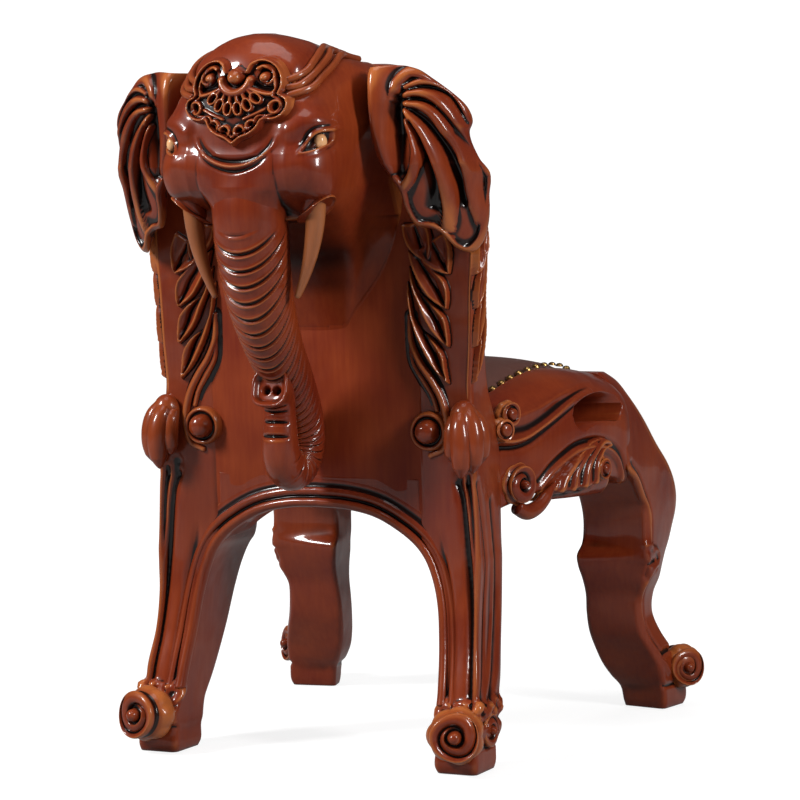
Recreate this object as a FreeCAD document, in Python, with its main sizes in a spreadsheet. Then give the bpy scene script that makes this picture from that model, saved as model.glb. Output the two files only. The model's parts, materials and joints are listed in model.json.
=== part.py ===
"""Carved elephant shoe-changing stool: a low chair whose back is an elephant's head.

Frame: millimetres, +Z up, origin on the floor under the middle of the stool's box.
The sitter faces -Y; the carved elephant looks out of the back, toward +Y; +X is the
sitter's left.  Pieces of the back are drawn upright in the back's own frame (x across,
y out of the back's rear face, z up along it) and leaned over by one placement.
"""
import FreeCAD, Part
import math
import os
import Sketcher

V = FreeCAD.Vector

os.makedirs("parts", exist_ok=True)
doc = FreeCAD.newDocument("elephant_stool")
sheet = doc.addObject("Spreadsheet::Sheet", "sizes")

SIZES = [
    # Back
    ("recline_angle", 4, "lean of the back from upright, degrees"),
    ("back_plane_y", 149, "rear face of the back at the seam over the arch"),
    ("seam_level", 260, "height of the seam between arch rail and panel"),
    ("panel_half_width", 100, "panel, from the middle to the post"),
    ("panel_thick", 22, "panel thickness"),
    ("panel_rise", 332, "panel height above the seam"),
    ("crest_height", 40, "crest rail height"),
    ("crest_thick", 42, "crest rail thickness"),
    ("crest_reach", 20, "crest rail, past the panel onto the post"),
    ("crest_fall", 22, "fall of the crest's top from middle to end"),
    ("arch_rise", 29, "wood left under the seam at the top of the arch"),
    ("arch_drop", 58, "end height of the arch rail under the seam"),
    ("arch_setback", 28, "arch rail's front face, behind the post's front at the seat"),
    ("joint_gap", 0.2, "clearance round tenons, dowels and pegs"),
    ("tenon_thick", 12, "tenon thickness"),
    ("tenon_length", 20, "tenon length"),
    ("dowel_diameter", 8, "dowel diameter"),
    ("dowel_length", 40, "dowel length"),
    # Rear posts
    ("post_round", 6, "rounding of the post's long edges"),
    ("post_foot_inner", 28, "rear foot, inner face outside the panel's edge"),
    ("post_foot_width", 40, "rear foot, width"),
    ("post_foot_depth", 51, "rear foot, depth"),
    ("post_foot_flare", 49, "kick of the rear foot behind the back's plane"),
    ("post_ankle_level", 112, "height of the rear ankle"),
    ("post_ankle_inner", 18, "rear ankle, inner face outside the panel's edge"),
    ("post_ankle_width", 36, "rear ankle, width"),
    ("post_ankle_depth", 58, "rear ankle, depth"),
    ("post_spring_width", 48, "post at the arch's spring, width"),
    ("post_spring_depth", 76, "post at the arch's spring, depth"),
    ("post_seat_width", 46, "post at the seat, width"),
    ("post_seat_depth", 86, "post at the seat, depth"),
    ("post_waist_level", 356, "height where the post is slim again"),
    ("post_waist_width", 49, "post over the seat, width"),
    ("post_waist_depth", 52, "post over the seat, depth"),
    ("post_shoulder_level", 490, "height of the post's shoulder"),
    ("post_shoulder_width", 58, "post at the shoulder, width"),
    ("post_shoulder_depth", 48, "post at the shoulder, depth"),
    ("post_top_width", 16, "post at the top, width"),
    ("post_corner_flare", 10, "rear leg's outer rear corner, drawn outward and rearward"),
    # Scroll feet
    ("plinth_height", 22, "block under the scroll foot"),
    ("scroll_level", 34, "height of the scroll's eye"),
    ("scroll_radius", 21, "scroll radius"),
    ("scroll_eye_radius", 8, "scroll eye radius"),
    ("scroll_eye_proud", 5, "scroll eye, height over the scroll's face"),
    ("rear_scroll_x", 57, "eye of the rear foot's back scroll, outside the panel's edge"),
    ("rear_scroll_face", 199, "face of the rear foot's back scroll"),
    ("rear_side_scroll_y", 156, "eye of the rear foot's side scroll"),
    ("rear_side_scroll_face", 77, "face of the rear foot's side scroll, outside the panel's edge"),
    ("front_scroll_y", -284, "eye of the front foot's side scroll"),
    ("front_scroll_face", 120, "face of the front foot's side scroll, outside the panel's edge"),
    ("front_toe_scroll_x", 100, "eye of the front foot's toe scroll, outside the panel's edge"),
    ("front_toe_scroll_face", -317, "face of the front foot's toe scroll"),
    # Front legs
    ("leg_round", 7, "rounding of the front leg's long edges"),
    ("leg_foot_inner", 66, "front foot, inner face outside the panel's edge"),
    ("leg_foot_width", 42, "front foot, width"),
    ("leg_foot_back", -243, "front foot, rear face"),
    ("leg_foot_depth", 48, "front foot, depth"),
    ("leg_ankle_level", 100, "height of the front ankle"),
    ("leg_ankle_inner", 41, "front ankle, inner face outside the panel's edge"),
    ("leg_ankle_width", 57, "front ankle, width"),
    ("leg_ankle_back", -178, "front ankle, rear face"),
    ("leg_ankle_depth", 48, "front ankle, depth"),
    ("leg_knee_level", 186, "height of the knee"),
    ("leg_knee_inner", 42, "knee, inner face outside the panel's edge"),
    ("leg_knee_width", 58, "knee, width"),
    ("leg_knee_back", -163, "knee, rear face"),
    ("leg_knee_depth", 104, "knee, depth"),
    ("leg_haunch_level", 236, "height of the haunch"),
    ("leg_haunch_width", 62, "haunch, width"),
    ("leg_haunch_depth", 122, "haunch, depth"),
    ("leg_shoulder_level", 316, "height of the leg's shoulder"),
    ("leg_shoulder_width", 57, "shoulder, width"),
    ("leg_shoulder_depth", 64, "shoulder, depth"),
    ("leg_top_level", 347, "top of the front leg"),
    ("leg_top_width", 40, "top, width"),
    ("leg_top_depth", 28, "top, depth"),
    ("leg_block_inner", 39, "front leg's joint block, inner face outside the panel's edge"),
    ("leg_block_back", -131, "joint block of the front leg, rear face"),
    # Seat rails
    ("rail_rear_inner", 5, "side rail inside the post, inner face outside the panel's edge"),
    ("rail_rear_outer", 39, "side rail inside the post, outer face outside the panel's edge"),
    ("rail_rear_top", 314, "side rail inside the post, top"),
    ("rail_rear_bottom", 218, "side rail inside the post, bottom"),
    ("rail_flank_y", 22, "station behind the hand-hold"),
    ("rail_flank_inner", 17, "side rail at the flank, inner face outside the panel's edge"),
    ("rail_flank_outer", 66, "side rail at the flank, outer face outside the panel's edge"),
    ("rail_flank_top", 336, "side rail at the flank, top"),
    ("rail_flank_bottom", 236, "side rail at the flank, bottom"),
    ("rail_crown_y", -40, "station where the rail's top levels out"),
    ("rail_crown_inner", 28, "side rail at the crown, inner face outside the panel's edge"),
    ("rail_crown_outer", 88, "side rail at the crown, outer face outside the panel's edge"),
    ("rail_crown_top", 352, "side rail at the crown, top"),
    ("rail_crown_bottom", 247, "side rail at the crown, bottom"),
    ("rail_front_outer", 99, "side rail at the leg, outer face outside the panel's edge"),
    ("rail_front_top", 346, "side rail at the leg, top"),
    ("rail_front_bottom", 240, "side rail at the leg, bottom"),
    ("rail_shoulder_drop", 25, "fall of the rail's sloped shoulder"),
    ("rail_groove", 3, "depth of the groove under the shoulder's ridge"),
    ("rebate_width", 9, "rebate for the leather's edge, width"),
    ("rebate_depth", 4, "rebate for the leather's edge, depth"),
    ("hold_y", -78, "middle of the hand-hold"),
    ("hold_length", 88, "hand-hold length"),
    ("hold_height", 31, "hand-hold height"),
    ("hold_level", 309, "height of the hand-hold's middle"),
    ("front_rail_face", -198, "front rail, front face"),
    ("front_rail_thick", 32, "front rail thickness"),
    ("front_rail_top", 324, "front rail top"),
    ("front_rail_height", 66, "front rail height"),
    ("front_rail_round", 8, "rounding of the front rail's top edge"),
    ("back_rail_thick", 22, "rear seat rail thickness"),
    ("back_rail_top", 296, "rear seat rail top"),
    ("back_rail_height", 42, "rear seat rail height"),
    ("back_rail_gap", 1.5, "gap between rear seat rail and arch rail"),
    ("block_leg", 40, "corner block, length along each rail"),
    ("block_height", 24, "corner block height"),
    # Seat
    ("soft_gap", 0.3, "gap between a soft piece and its neighbour"),
    ("board_thick", 10, "moulded seat board thickness"),
    ("board_sink", 16, "board under the side rail's top"),
    ("foam_edge", 11, "foam thickness at its edge"),
    ("foam_crown", 24, "foam thickness in the middle"),
    ("leather_thick", 1.6, "leather thickness"),
    ("seat_rear_y", 54, "rear end of the seat"),
    ("nail_head", 8, "nail head diameter"),
    ("nail_proud", 3.4, "nail head height"),
    ("nail_pitch", 16, "distance between nails"),
    ("screw_shank", 4.5, "screw shank diameter"),
    ("screw_head", 9, "screw head diameter"),
    ("screw_head_height", 3.2, "screw head height"),
    ("screw_length", 26, "screw shank length"),
    # Back pad
    ("pad_board_thick", 8, "back pad board thickness"),
    ("pad_bottom", 64, "bottom of the back pad over the seam"),
    ("pad_side_gap", 3, "gap between back pad and post"),
    ("pad_lumbar_edge", 42, "back pad thickness at its foot, at the edge"),
    ("pad_lumbar_crown", 50, "back pad thickness at its foot, in the middle"),
    ("pad_edge", 16, "back pad thickness at the edge"),
    ("pad_crown", 29, "back pad thickness in the middle"),
    ("pad_end_edge", 9, "back pad thickness at its top, at the edge"),
    ("pad_end_crown", 15, "back pad thickness at its top, in the middle"),
    # Elephant head
    ("head_below", 94, "underside of the head, under the panel's top"),
    ("head_above", 59, "top of the head, over the panel's top"),
    ("head_half_width", 84, "head at the temples, half width"),
    ("head_reach", 146, "forehead, out from the back"),
    ("trunk_root_radius", 31, "trunk radius at the root"),
    ("trunk_tip_radius", 14, "trunk radius under the tip"),
    ("trunk_flare", 3, "widening of the trunk's tip"),
    ("trunk_rings", 24, "rings round the trunk"),
    ("trunk_ring_depth", 1.5, "depth of the grooves between rings"),
    ("trunk_root_out", 121, "trunk root, out from the back"),
    ("trunk_wall_out", 27, "trunk's low limb, out from the back"),
    ("trunk_low", 13, "lowest point of the trunk's middle line over the seam"),
    ("trunk_curl_out", 90, "upturned limb, out from the back"),
    ("trunk_tip_level", 88, "trunk tip over the seam"),
    ("nostril_radius", 3.5, "nostril radius"),
    ("nostril_depth", 10, "nostril depth"),
    ("tusk_x", 59, "tusk root, from the middle"),
    ("tusk_out", 106, "tusk root, out from the back"),
    ("tusk_radius", 9, "tusk root radius"),
    ("tusk_tip_radius", 2.5, "tusk tip radius"),
    ("tusk_drop", 68, "tusk height"),
    ("tusk_turn_in", 20, "tusk tip, nearer the middle than the root"),
    ("tusk_tip_out", 7, "tusk tip, farther out than the root"),
    ("tusk_peg_radius", 4, "peg on the tusk's root, radius"),
    ("tusk_peg_length", 16, "peg on the tusk's root, length"),
    ("eye_radius", 7, "eye bead radius"),
    ("eye_x", 66, "eye, from the middle"),
    ("eye_out", 123, "eye, out from the back"),
    ("eye_below", 26, "eye, under the panel's top"),
    ("plaque_proud", 7, "forehead plaque over the head"),
    ("plaque_half_width", 46, "forehead plaque, half width"),
    ("plaque_point_below", 22, "plaque's lower point, under the panel's top"),
    ("plaque_middle_above", 8, "plaque's widest place, over the panel's top"),
    ("plaque_top_above", 44, "plaque's upper edge, over the panel's top"),
    ("ear_root_x", 74, "ear root, from the middle"),
    ("ear_root_out", 56, "ear root, out from the back"),
    ("ear_reach", 184, "ear's outer edge, from the middle"),
    ("ear_edge_out", 24, "ear's outer edge, out from the back"),
    ("ear_above", 47, "ear's upper edge, over the panel's top"),
    ("ear_tip_below", 124, "ear's lowest tip, under the panel's top"),
    ("ear_thick", 9, "ear thickness"),
    ("ear_pleat", 5, "height of the ear's pleats"),
    ("ear_pleats", 5, "pleats in the ear"),
    ("ear_fan", 120, "angle that the pleats fan over, degrees"),
    ("bolt_diameter", 6, "bolt through the panel into the head"),
    ("bolt_head", 12, "bolt head diameter"),
    ("bolt_head_height", 4, "bolt head height"),
    ("bolt_length", 52, "bolt shank length"),
    ("bolt_x", 42, "bolts, from the middle"),
    ("bolt_low_below", 64, "lower bolts, under the panel's top"),
    ("bolt_high_below", 6, "upper bolts, under the panel's top"),
    # Carved trim on posts and rails
    ("leaf_proud", 9, "carved leaf over the wood"),
    ("leaf_bevel", 3, "slope of the leaf's sides"),
    ("leaf_inner", 2, "leaf stem, outside the panel's edge"),
    ("leaf_tip", 36, "leaf tips, outside the panel's edge"),
    ("leaf_notch", 21, "notches between leaf tips, outside the panel's edge"),
    ("leaf_bottom", 68, "leaf's lower end over the seam"),
    ("leaf_pitch", 34, "height of one leaf tip"),
    ("leaf_tips", 5, "tips along one leaf"),
    ("side_leaf_stem", -36, "side leaf stem, out from the back"),
    ("side_leaf_notch", -21, "side leaf notches, out from the back"),
    ("side_leaf_tip", -8, "side leaf tips, out from the back"),
    ("knob_x", 13, "knob, outside the panel's edge"),
    ("knob_level", 43, "knob over the seam"),
    ("knob_ring_radius", 16, "ring round the knob, radius"),
    ("knob_ring_proud", 8, "ring round the knob, height"),
    ("knob_radius", 10, "knob radius"),
    ("knob_proud", 18, "knob height"),
    ("drop_bottom", 4, "corner drop's lower end over the seam"),
    ("drop_height", 66, "corner drop height"),
    ("drop_radius", 16, "corner drop radius"),
    ("drop_end_radius", 4, "corner drop radius at its ends"),
    ("rail_scroll_radius", 18, "rail scroll's large volute, radius"),
    ("rail_scroll_y", 42, "rail scroll's large volute, middle"),
    ("rail_scroll_level", 243, "rail scroll's large volute, height"),
    ("rail_scroll_end_radius", 9, "rail scroll's small volute, radius"),
    ("rail_scroll_end_y", -76, "rail scroll's small volute, middle"),
    ("rail_scroll_end_level", 256, "rail scroll's small volute, height"),
    ("rail_scroll_arm", 5.5, "rail scroll's arm, radius"),
    ("rail_scroll_proud", 6, "rail scroll over the rail"),
    ("rail_volute_radius", 10, "volute at the rail's rear end, radius"),
    ("rail_volute_small", 7, "lower volute at the rail's rear end, radius"),
    ("rail_volute_y", 54, "volute at the rail's rear end, middle"),
    ("rail_volute_level", 309, "volute at the rail's rear end, height"),
    ("rail_volute_proud", 5, "volute over the rail"),
    # Glides
    ("glide_radius", 9, "glide radius"),
    ("glide_height", 3, "glide disc height"),
    ("glide_proud", 1, "glide under the foot"),
    ("glide_stem_radius", 2.5, "glide stem radius"),
    ("glide_stem", 14, "glide stem length"),
]
for row, (alias, number, note) in enumerate(SIZES, 1):
    sheet.set("A%d" % row, alias)
    sheet.set("B%d" % row, str(number))
    sheet.set("C%d" % row, note)
    sheet.setAlias("B%d" % row, alias)
doc.recompute()


class Sizes:
    """The sheet's cells, read by alias."""

    def __getattr__(self, alias):
        return float(sheet.get(alias))


d = Sizes()
LEFT, RIGHT = 1, -1
SIDES = (("left", LEFT), ("right", RIGHT))
back_frame = FreeCAD.Placement(
    V(0, d.back_plane_y, d.seam_level),
    FreeCAD.Rotation(V(1, 0, 0), -d.recline_angle),
)
lean = math.tan(math.radians(d.recline_angle))
nodes = []

# Faces and middles given outside the panel's edge, counted from the middle of the stool.
panel_edge = d.panel_half_width
post_foot_inner = panel_edge + d.post_foot_inner
post_ankle_inner = panel_edge + d.post_ankle_inner
rear_scroll_x = panel_edge + d.rear_scroll_x
rear_side_scroll_face = panel_edge + d.rear_side_scroll_face
front_scroll_face = panel_edge + d.front_scroll_face
front_toe_scroll_x = panel_edge + d.front_toe_scroll_x
leg_foot_inner = panel_edge + d.leg_foot_inner
leg_ankle_inner = panel_edge + d.leg_ankle_inner
leg_knee_inner = panel_edge + d.leg_knee_inner
leg_block_inner = panel_edge + d.leg_block_inner
rail_rear_inner = panel_edge + d.rail_rear_inner
rail_rear_outer = panel_edge + d.rail_rear_outer
rail_flank_inner = panel_edge + d.rail_flank_inner
rail_flank_outer = panel_edge + d.rail_flank_outer
rail_crown_inner = panel_edge + d.rail_crown_inner
rail_crown_outer = panel_edge + d.rail_crown_outer
rail_front_outer = panel_edge + d.rail_front_outer
leaf_inner = panel_edge + d.leaf_inner
leaf_tip = panel_edge + d.leaf_tip
leaf_notch = panel_edge + d.leaf_notch
knob_x = panel_edge + d.knob_x

# Levels given from the panel's top, counted from the seam.
head_bottom = d.panel_rise - d.head_below
head_top = d.panel_rise + d.head_above
eye_level = d.panel_rise - d.eye_below
plaque_bottom = d.panel_rise - d.plaque_point_below
plaque_middle = d.panel_rise + d.plaque_middle_above
plaque_top = d.panel_rise + d.plaque_top_above
ear_top = d.panel_rise + d.ear_above
ear_tip_level = d.panel_rise - d.ear_tip_below
bolt_low = d.panel_rise - d.bolt_low_below
bolt_high = d.panel_rise - d.bolt_high_below
arch_thick = d.post_seat_depth - d.arch_setback


def value(text):
    """The number that an expression of the sheet gives."""
    return float(sheet.evalExpression(text))


def keep(obj, label):
    """Give an object its sub-part's name and list it for export."""
    obj.Label = label
    nodes.append(obj)
    return obj


def feature(label, shape, placement=None):
    """A sub-part made with Part's own functions."""
    obj = doc.addObject("Part::Feature", label)
    obj.Shape = shape
    if placement:
        obj.Placement = placement
    return keep(obj, label)


def leaned(shape):
    """A shape drawn in the back's frame, put where the back stands."""
    moved = shape.copy()
    moved.Placement = back_frame.multiply(moved.Placement)
    return moved


def mirrored(shape, side):
    """The left piece itself, or its mirror image for the right."""
    if side == LEFT:
        return shape
    return shape.mirror(V(0, 0, 0), V(1, 0, 0))


def plane_y(z):
    """Depth of the back's rear plane at a height above the floor."""
    return d.back_plane_y + (z - d.seam_level) * lean


def box(x0, x1, y0, y1, z0, z1):
    """A box between two corners."""
    return Part.makeBox(x1 - x0, y1 - y0, z1 - z0, V(x0, y0, z0))


def rounded_outline(corners, z, radius):
    """A level outline of straight sides, its corners rounded by arcs that touch both sides."""
    ends = []
    for i, (x, y) in enumerate(corners):
        here = V(x, y, z)
        back = (V(*corners[i - 1], z) - here).normalize()
        ahead = (V(*corners[(i + 1) % len(corners)], z) - here).normalize()
        half_turn = back.getAngle(ahead) / 2
        reach = radius / math.tan(half_turn)
        inward = (back + ahead).normalize()
        middle = here + inward * (radius / math.sin(half_turn) - radius)
        ends.append((here + back * reach, middle, here + ahead * reach))
    edges = []
    for i, (first, middle, last) in enumerate(ends):
        edges.append(Part.Arc(first, middle, last).toShape())
        edges.append(Part.LineSegment(last, ends[(i + 1) % len(ends)][0]).toShape())
    return Part.Wire(edges)


def polygon(points):
    """A closed wire of straight lines."""
    return Part.makePolygon(points + [points[0]])


def spline(points):
    """A smooth edge through points."""
    curve = Part.BSplineCurve()
    curve.interpolate(points)
    return curve.toShape()


def loft(wires, ruled=False):
    """A solid through closed wires."""
    return Part.makeLoft(wires, True, ruled)


def plane_of(body, role):
    """One of a body's own origin planes."""
    return [f for f in body.Origin.OriginFeatures if f.Role == role][0]


def new_sketch(body, role, name):
    """An empty sketch on one of the body's origin planes."""
    sketch = body.newObject("Sketcher::SketchObject", name)
    sketch.AttachmentSupport = [(plane_of(body, role), "")]
    sketch.MapMode = "FlatFace"
    return sketch


def pin(sketch, geometry, end, across, up):
    """Hold an end of a sketch line at two expressions of the sheet."""
    for kind, text in (("DistanceX", across), ("DistanceY", up)):
        number = sketch.addConstraint(
            Sketcher.Constraint(kind, -1, 1, geometry, end, value(text)))
        sketch.setExpression("Constraints[%d]" % number, text)


def outline(body, role, corners, name):
    """A closed straight-sided sketch whose corners are expressions of the sheet."""
    sketch = new_sketch(body, role, name)
    count = len(corners)
    here = [V(value(x), value(y), 0) for x, y in corners]
    for i in range(count):
        sketch.addGeometry(Part.LineSegment(here[i], here[(i + 1) % count]), False)
    for i in range(count):
        sketch.addConstraint(Sketcher.Constraint("Coincident", i, 2, (i + 1) % count, 1))
    for i, (across, up) in enumerate(corners):
        pin(sketch, i, 1, across, up)
    return sketch


def circles(body, role, spots, radius, name):
    """A sketch of equal circles, their middles and radius from the sheet."""
    sketch = new_sketch(body, role, name)
    for i, (across, up) in enumerate(spots):
        middle = V(value(across), value(up), 0)
        sketch.addGeometry(Part.Circle(middle, V(0, 0, 1), value(radius)), False)
        pin(sketch, i, 3, across, up)
        number = sketch.addConstraint(Sketcher.Constraint("Radius", i, value(radius)))
        sketch.setExpression("Constraints[%d]" % number, radius)
    return sketch


def pad(body, sketch, length, name, both_ways=False, backwards=False):
    """A pad of a sketch."""
    made = body.newObject("PartDesign::Pad", name)
    made.Profile = sketch
    made.setExpression("Length", length)
    made.Midplane = both_ways
    made.Reversed = backwards
    return made


def revolve(body, corners, name):
    """A full turn, about the body's Z axis, of a half outline on its XZ plane."""
    sketch = outline(body, "XZ_Plane", corners, name + "_outline")
    made = body.newObject("PartDesign::Revolution", name)
    made.Profile = sketch
    made.ReferenceAxis = (sketch, ["V_Axis"])
    made.Angle = 360
    return made


def copies(label, shape, placements):
    """One node of equal pieces at several places."""
    pieces = []
    for place in placements:
        piece = shape.copy()
        piece.Placement = place
        pieces.append(piece)
    return feature(label, Part.makeCompound(pieces))


def turned(point, direction):
    """A placement that carries +Z onto a direction, at a point."""
    return FreeCAD.Placement(point, FreeCAD.Rotation(V(0, 0, 1), direction))


def volute(radius, face, root, eye_radius, eye_proud):
    """A scroll's end: a drum from its root to its face, with a domed eye, along +Z."""
    drum = Part.makeCylinder(radius, face - root, V(0, 0, root))
    ball = (eye_radius ** 2 + eye_proud ** 2) / (2 * eye_proud)
    eye = Part.makeSphere(ball, V(0, 0, face + eye_proud - ball))
    cap = eye.common(Part.makeCylinder(eye_radius, eye_proud, V(0, 0, face)))
    return drum.fuse(cap)


# Rear posts: each is one leg and stile, its long faces sawn to the back's plane.
spring_level = d.seam_level - d.arch_drop
top_level = d.seam_level + d.panel_rise
seat_joint_level = (d.rail_rear_top + d.rail_rear_bottom) / 2 + d.post_round
overrun = d.crest_height


def post_section(z, inner, width, depth, kick, flare=0):
    """A level cut through the left post, its outer rear corner drawn out by a flare."""
    rear = plane_y(z) + d.post_foot_flare * kick
    outer = inner + width
    return rounded_outline([
        (outer, rear - depth),
        (outer + flare, rear + flare),
        (inner, rear),
        (inner, rear - depth),
    ], z, d.post_round)


spring = post_section(spring_level, d.panel_half_width, d.post_spring_width, d.post_spring_depth, 0,
                      d.post_corner_flare)
ankle_kick = (1 - d.post_ankle_level / spring_level) ** 1.5
rear_leg = loft([
    post_section(d.glide_proud, post_foot_inner, d.post_foot_width, d.post_foot_depth, 1),
    post_section(d.plinth_height, post_foot_inner, d.post_foot_width, d.post_foot_depth, 0.96),
    post_section(d.post_ankle_level, post_ankle_inner, d.post_ankle_width, d.post_ankle_depth,
                 ankle_kick, d.post_corner_flare),
    spring,
])
seat_joint = post_section(seat_joint_level, d.panel_half_width, d.post_seat_width, d.post_seat_depth, 0)
joint_block = loft([spring, seat_joint])
stile = loft([
    seat_joint,
    post_section(d.post_waist_level, d.panel_half_width, d.post_waist_width, d.post_waist_depth, 0),
    post_section(d.post_shoulder_level, d.panel_half_width, d.post_shoulder_width,
                 d.post_shoulder_depth, 0),
    post_section(top_level + overrun, d.panel_half_width, d.post_top_width,
                 d.post_shoulder_depth, 0),
])
over_post = leaned(box(0, 2 * d.ear_reach, -2 * d.head_reach, d.head_reach,
                   d.panel_rise, d.panel_rise + 3 * overrun))
back_scroll = volute(d.scroll_radius, d.rear_scroll_face, plane_y(0), d.scroll_eye_radius,
                     d.scroll_eye_proud)
back_scroll.Placement = turned(V(rear_scroll_x, 0, d.scroll_level), V(0, 1, 0))
side_scroll = volute(d.scroll_radius, rear_side_scroll_face, post_foot_inner + d.post_round,
                     d.scroll_eye_radius, d.scroll_eye_proud)
side_scroll.Placement = turned(V(0, d.rear_side_scroll_y, d.scroll_level), V(1, 0, 0))
post_blank = rear_leg.fuse([joint_block, stile.cut(over_post), back_scroll, side_scroll])

# Front legs: cabriole, with a scroll on the foot's outer side and on its toe.


def leg_section(z, inner, width, back, depth):
    """A level cut through the left front leg."""
    outer = inner + width
    return rounded_outline([
        (outer, back - depth),
        (outer, back),
        (inner, back),
        (inner, back - depth),
    ], z, d.leg_round)


haunch = leg_section(d.leg_haunch_level, leg_block_inner, d.leg_haunch_width, d.leg_block_back,
                     d.leg_haunch_depth)
front_leg = loft([
    leg_section(d.glide_proud, leg_foot_inner, d.leg_foot_width, d.leg_foot_back, d.leg_foot_depth),
    leg_section(d.plinth_height, leg_foot_inner, d.leg_foot_width, d.leg_foot_back,
                d.leg_foot_depth),
    leg_section(d.leg_ankle_level, leg_ankle_inner, d.leg_ankle_width, d.leg_ankle_back,
                d.leg_ankle_depth),
    leg_section(d.leg_knee_level, leg_knee_inner, d.leg_knee_width, d.leg_knee_back,
                d.leg_knee_depth),
    haunch,
])
leg_block = loft([
    haunch,
    leg_section(d.leg_shoulder_level, leg_block_inner, d.leg_shoulder_width, d.leg_block_back,
                d.leg_shoulder_depth),
    leg_section(d.leg_top_level, leg_block_inner, d.leg_top_width, d.leg_block_back,
                d.leg_top_depth),
])
toe_scroll = volute(d.scroll_radius, -d.front_toe_scroll_face, -d.leg_foot_back + d.leg_round,
                    d.scroll_eye_radius, d.scroll_eye_proud)
toe_scroll.Placement = turned(V(front_toe_scroll_x, 0, d.scroll_level), V(0, -1, 0))
outer_scroll = volute(d.scroll_radius, front_scroll_face, leg_foot_inner + d.leg_round,
                      d.scroll_eye_radius, d.scroll_eye_proud)
outer_scroll.Placement = turned(V(0, d.front_scroll_y, d.scroll_level), V(1, 0, 0))
leg_blank = front_leg.fuse([leg_block, toe_scroll, outer_scroll])

# Side rails: a sloped shoulder over a ridge and a flat face, with a hand-hold through.
post_front_y = plane_y(seat_joint_level) - d.post_seat_depth
STATIONS = (
    (post_front_y + d.tenon_length, rail_rear_inner, rail_rear_outer, d.rail_rear_top,
     d.rail_rear_bottom),
    (d.rail_flank_y, rail_flank_inner, rail_flank_outer, d.rail_flank_top,
     d.rail_flank_bottom),
    (d.rail_crown_y, rail_crown_inner, rail_crown_outer, d.rail_crown_top,
     d.rail_crown_bottom),
    (d.leg_block_back - d.leg_round, leg_block_inner, rail_front_outer, d.rail_front_top,
     d.rail_front_bottom),
)


def rail_section(y, inner, outer, top, bottom):
    """An upright cut through the left side rail."""
    ridge = top - d.rail_shoulder_drop
    points = (
        (inner, bottom),
        (inner, top - d.rebate_depth),
        (inner + d.rebate_width, top - d.rebate_depth),
        (inner + d.rebate_width, top),
        (outer - d.rail_groove, ridge),
        (outer - 2 * d.rail_groove, ridge - 2 * d.rail_groove),
        (outer, ridge - 4 * d.rail_groove),
        (outer, bottom + 2 * d.rail_groove),
        (outer - 2 * d.rail_groove, bottom),
    )
    return polygon([V(x, y, z) for x, z in points])


rail_tenon_z0 = d.rail_front_bottom + d.tenon_thick
rail_tenon_z1 = d.hold_level - d.hold_height / 2
rear_tenon_x = (rail_rear_inner + rail_rear_outer) / 2
front_tenon_x = (leg_block_inner + rail_front_outer) / 2


def rail_tenons(gap):
    """The side rail's two tenons, grown by a gap for their mortises."""
    half = d.tenon_thick / 2 + gap
    low = rail_tenon_z0 - gap
    high = rail_tenon_z1 + gap
    rear = box(rear_tenon_x - half, rear_tenon_x + half, d.rail_flank_y,
               post_front_y + d.tenon_length + gap, low, high)
    front = box(front_tenon_x - half, front_tenon_x + half,
                d.leg_block_back - d.tenon_length - gap, d.leg_block_back + d.tenon_length,
                low, high)
    return rear, front


hold_half = d.hold_length / 2 - d.hold_height / 2
hold_radius = d.hold_height / 2
hold = box(0, 2 * d.ear_reach, d.hold_y - hold_half, d.hold_y + hold_half,
           d.hold_level - hold_radius, d.hold_level + hold_radius)
for end in (-hold_half, hold_half):
    hold = hold.fuse(Part.makeCylinder(hold_radius, 2 * d.ear_reach,
                                       V(0, d.hold_y + end, d.hold_level), V(1, 0, 0)))
rail_blank = loft([rail_section(*station) for station in STATIONS])
rail_blank = rail_blank.cut(post_blank).cut(leg_blank).cut(hold.removeSplitter())
rear_tenon, front_tenon = rail_tenons(0)
rail_shape = rail_blank.fuse([rear_tenon.common(post_blank), front_tenon.common(leg_blank)])
rear_mortise, front_mortise = rail_tenons(d.joint_gap)

# Mortises for the arch rail and the front rail, and bores for the crest's dowels.
arch_tenon_v = -arch_thick / 2
arch_tenon_w0 = -d.arch_drop + d.tenon_thick
arch_tenon_w1 = -d.tenon_thick
arch_mortise = leaned(box(
    0, d.panel_half_width + d.tenon_length + d.joint_gap,
    arch_tenon_v - d.tenon_thick / 2 - d.joint_gap, arch_tenon_v + d.tenon_thick / 2 + d.joint_gap,
    arch_tenon_w0 - d.joint_gap, arch_tenon_w1 + d.joint_gap))
front_rail_y = d.front_rail_face + d.front_rail_thick / 2
front_rail_low = d.front_rail_top - d.front_rail_height
front_rail_mortise = box(
    0, leg_block_inner + d.tenon_length + d.joint_gap,
    front_rail_y - d.tenon_thick / 2 - d.joint_gap, front_rail_y + d.tenon_thick / 2 + d.joint_gap,
    front_rail_low + d.tenon_thick - d.joint_gap, d.front_rail_top - d.tenon_thick + d.joint_gap)
dowel_bore = d.dowel_diameter / 2 + d.joint_gap
crest_dowel_x = d.panel_half_width + d.crest_reach * 0.6
crest_dowel_v = -d.crest_thick / 2
crest_bore = leaned(Part.makeCylinder(
    dowel_bore, d.dowel_length + 2 * d.joint_gap,
    V(crest_dowel_x, crest_dowel_v, d.panel_rise - d.dowel_length / 2 - d.joint_gap)))
back_rail_y = d.back_plane_y - arch_thick - d.back_rail_gap - d.back_rail_thick
back_rail_low = d.back_rail_top - d.back_rail_height
back_dowel_x = rear_tenon_x - d.tenon_thick / 2 - d.back_rail_gap - d.dowel_length
back_rail_bore = Part.makeCylinder(
    dowel_bore, d.dowel_length + 2 * d.joint_gap,
    V(back_dowel_x - d.joint_gap,
      back_rail_y + d.back_rail_thick / 2, d.back_rail_top - d.back_rail_height / 2), V(1, 0, 0))
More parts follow.
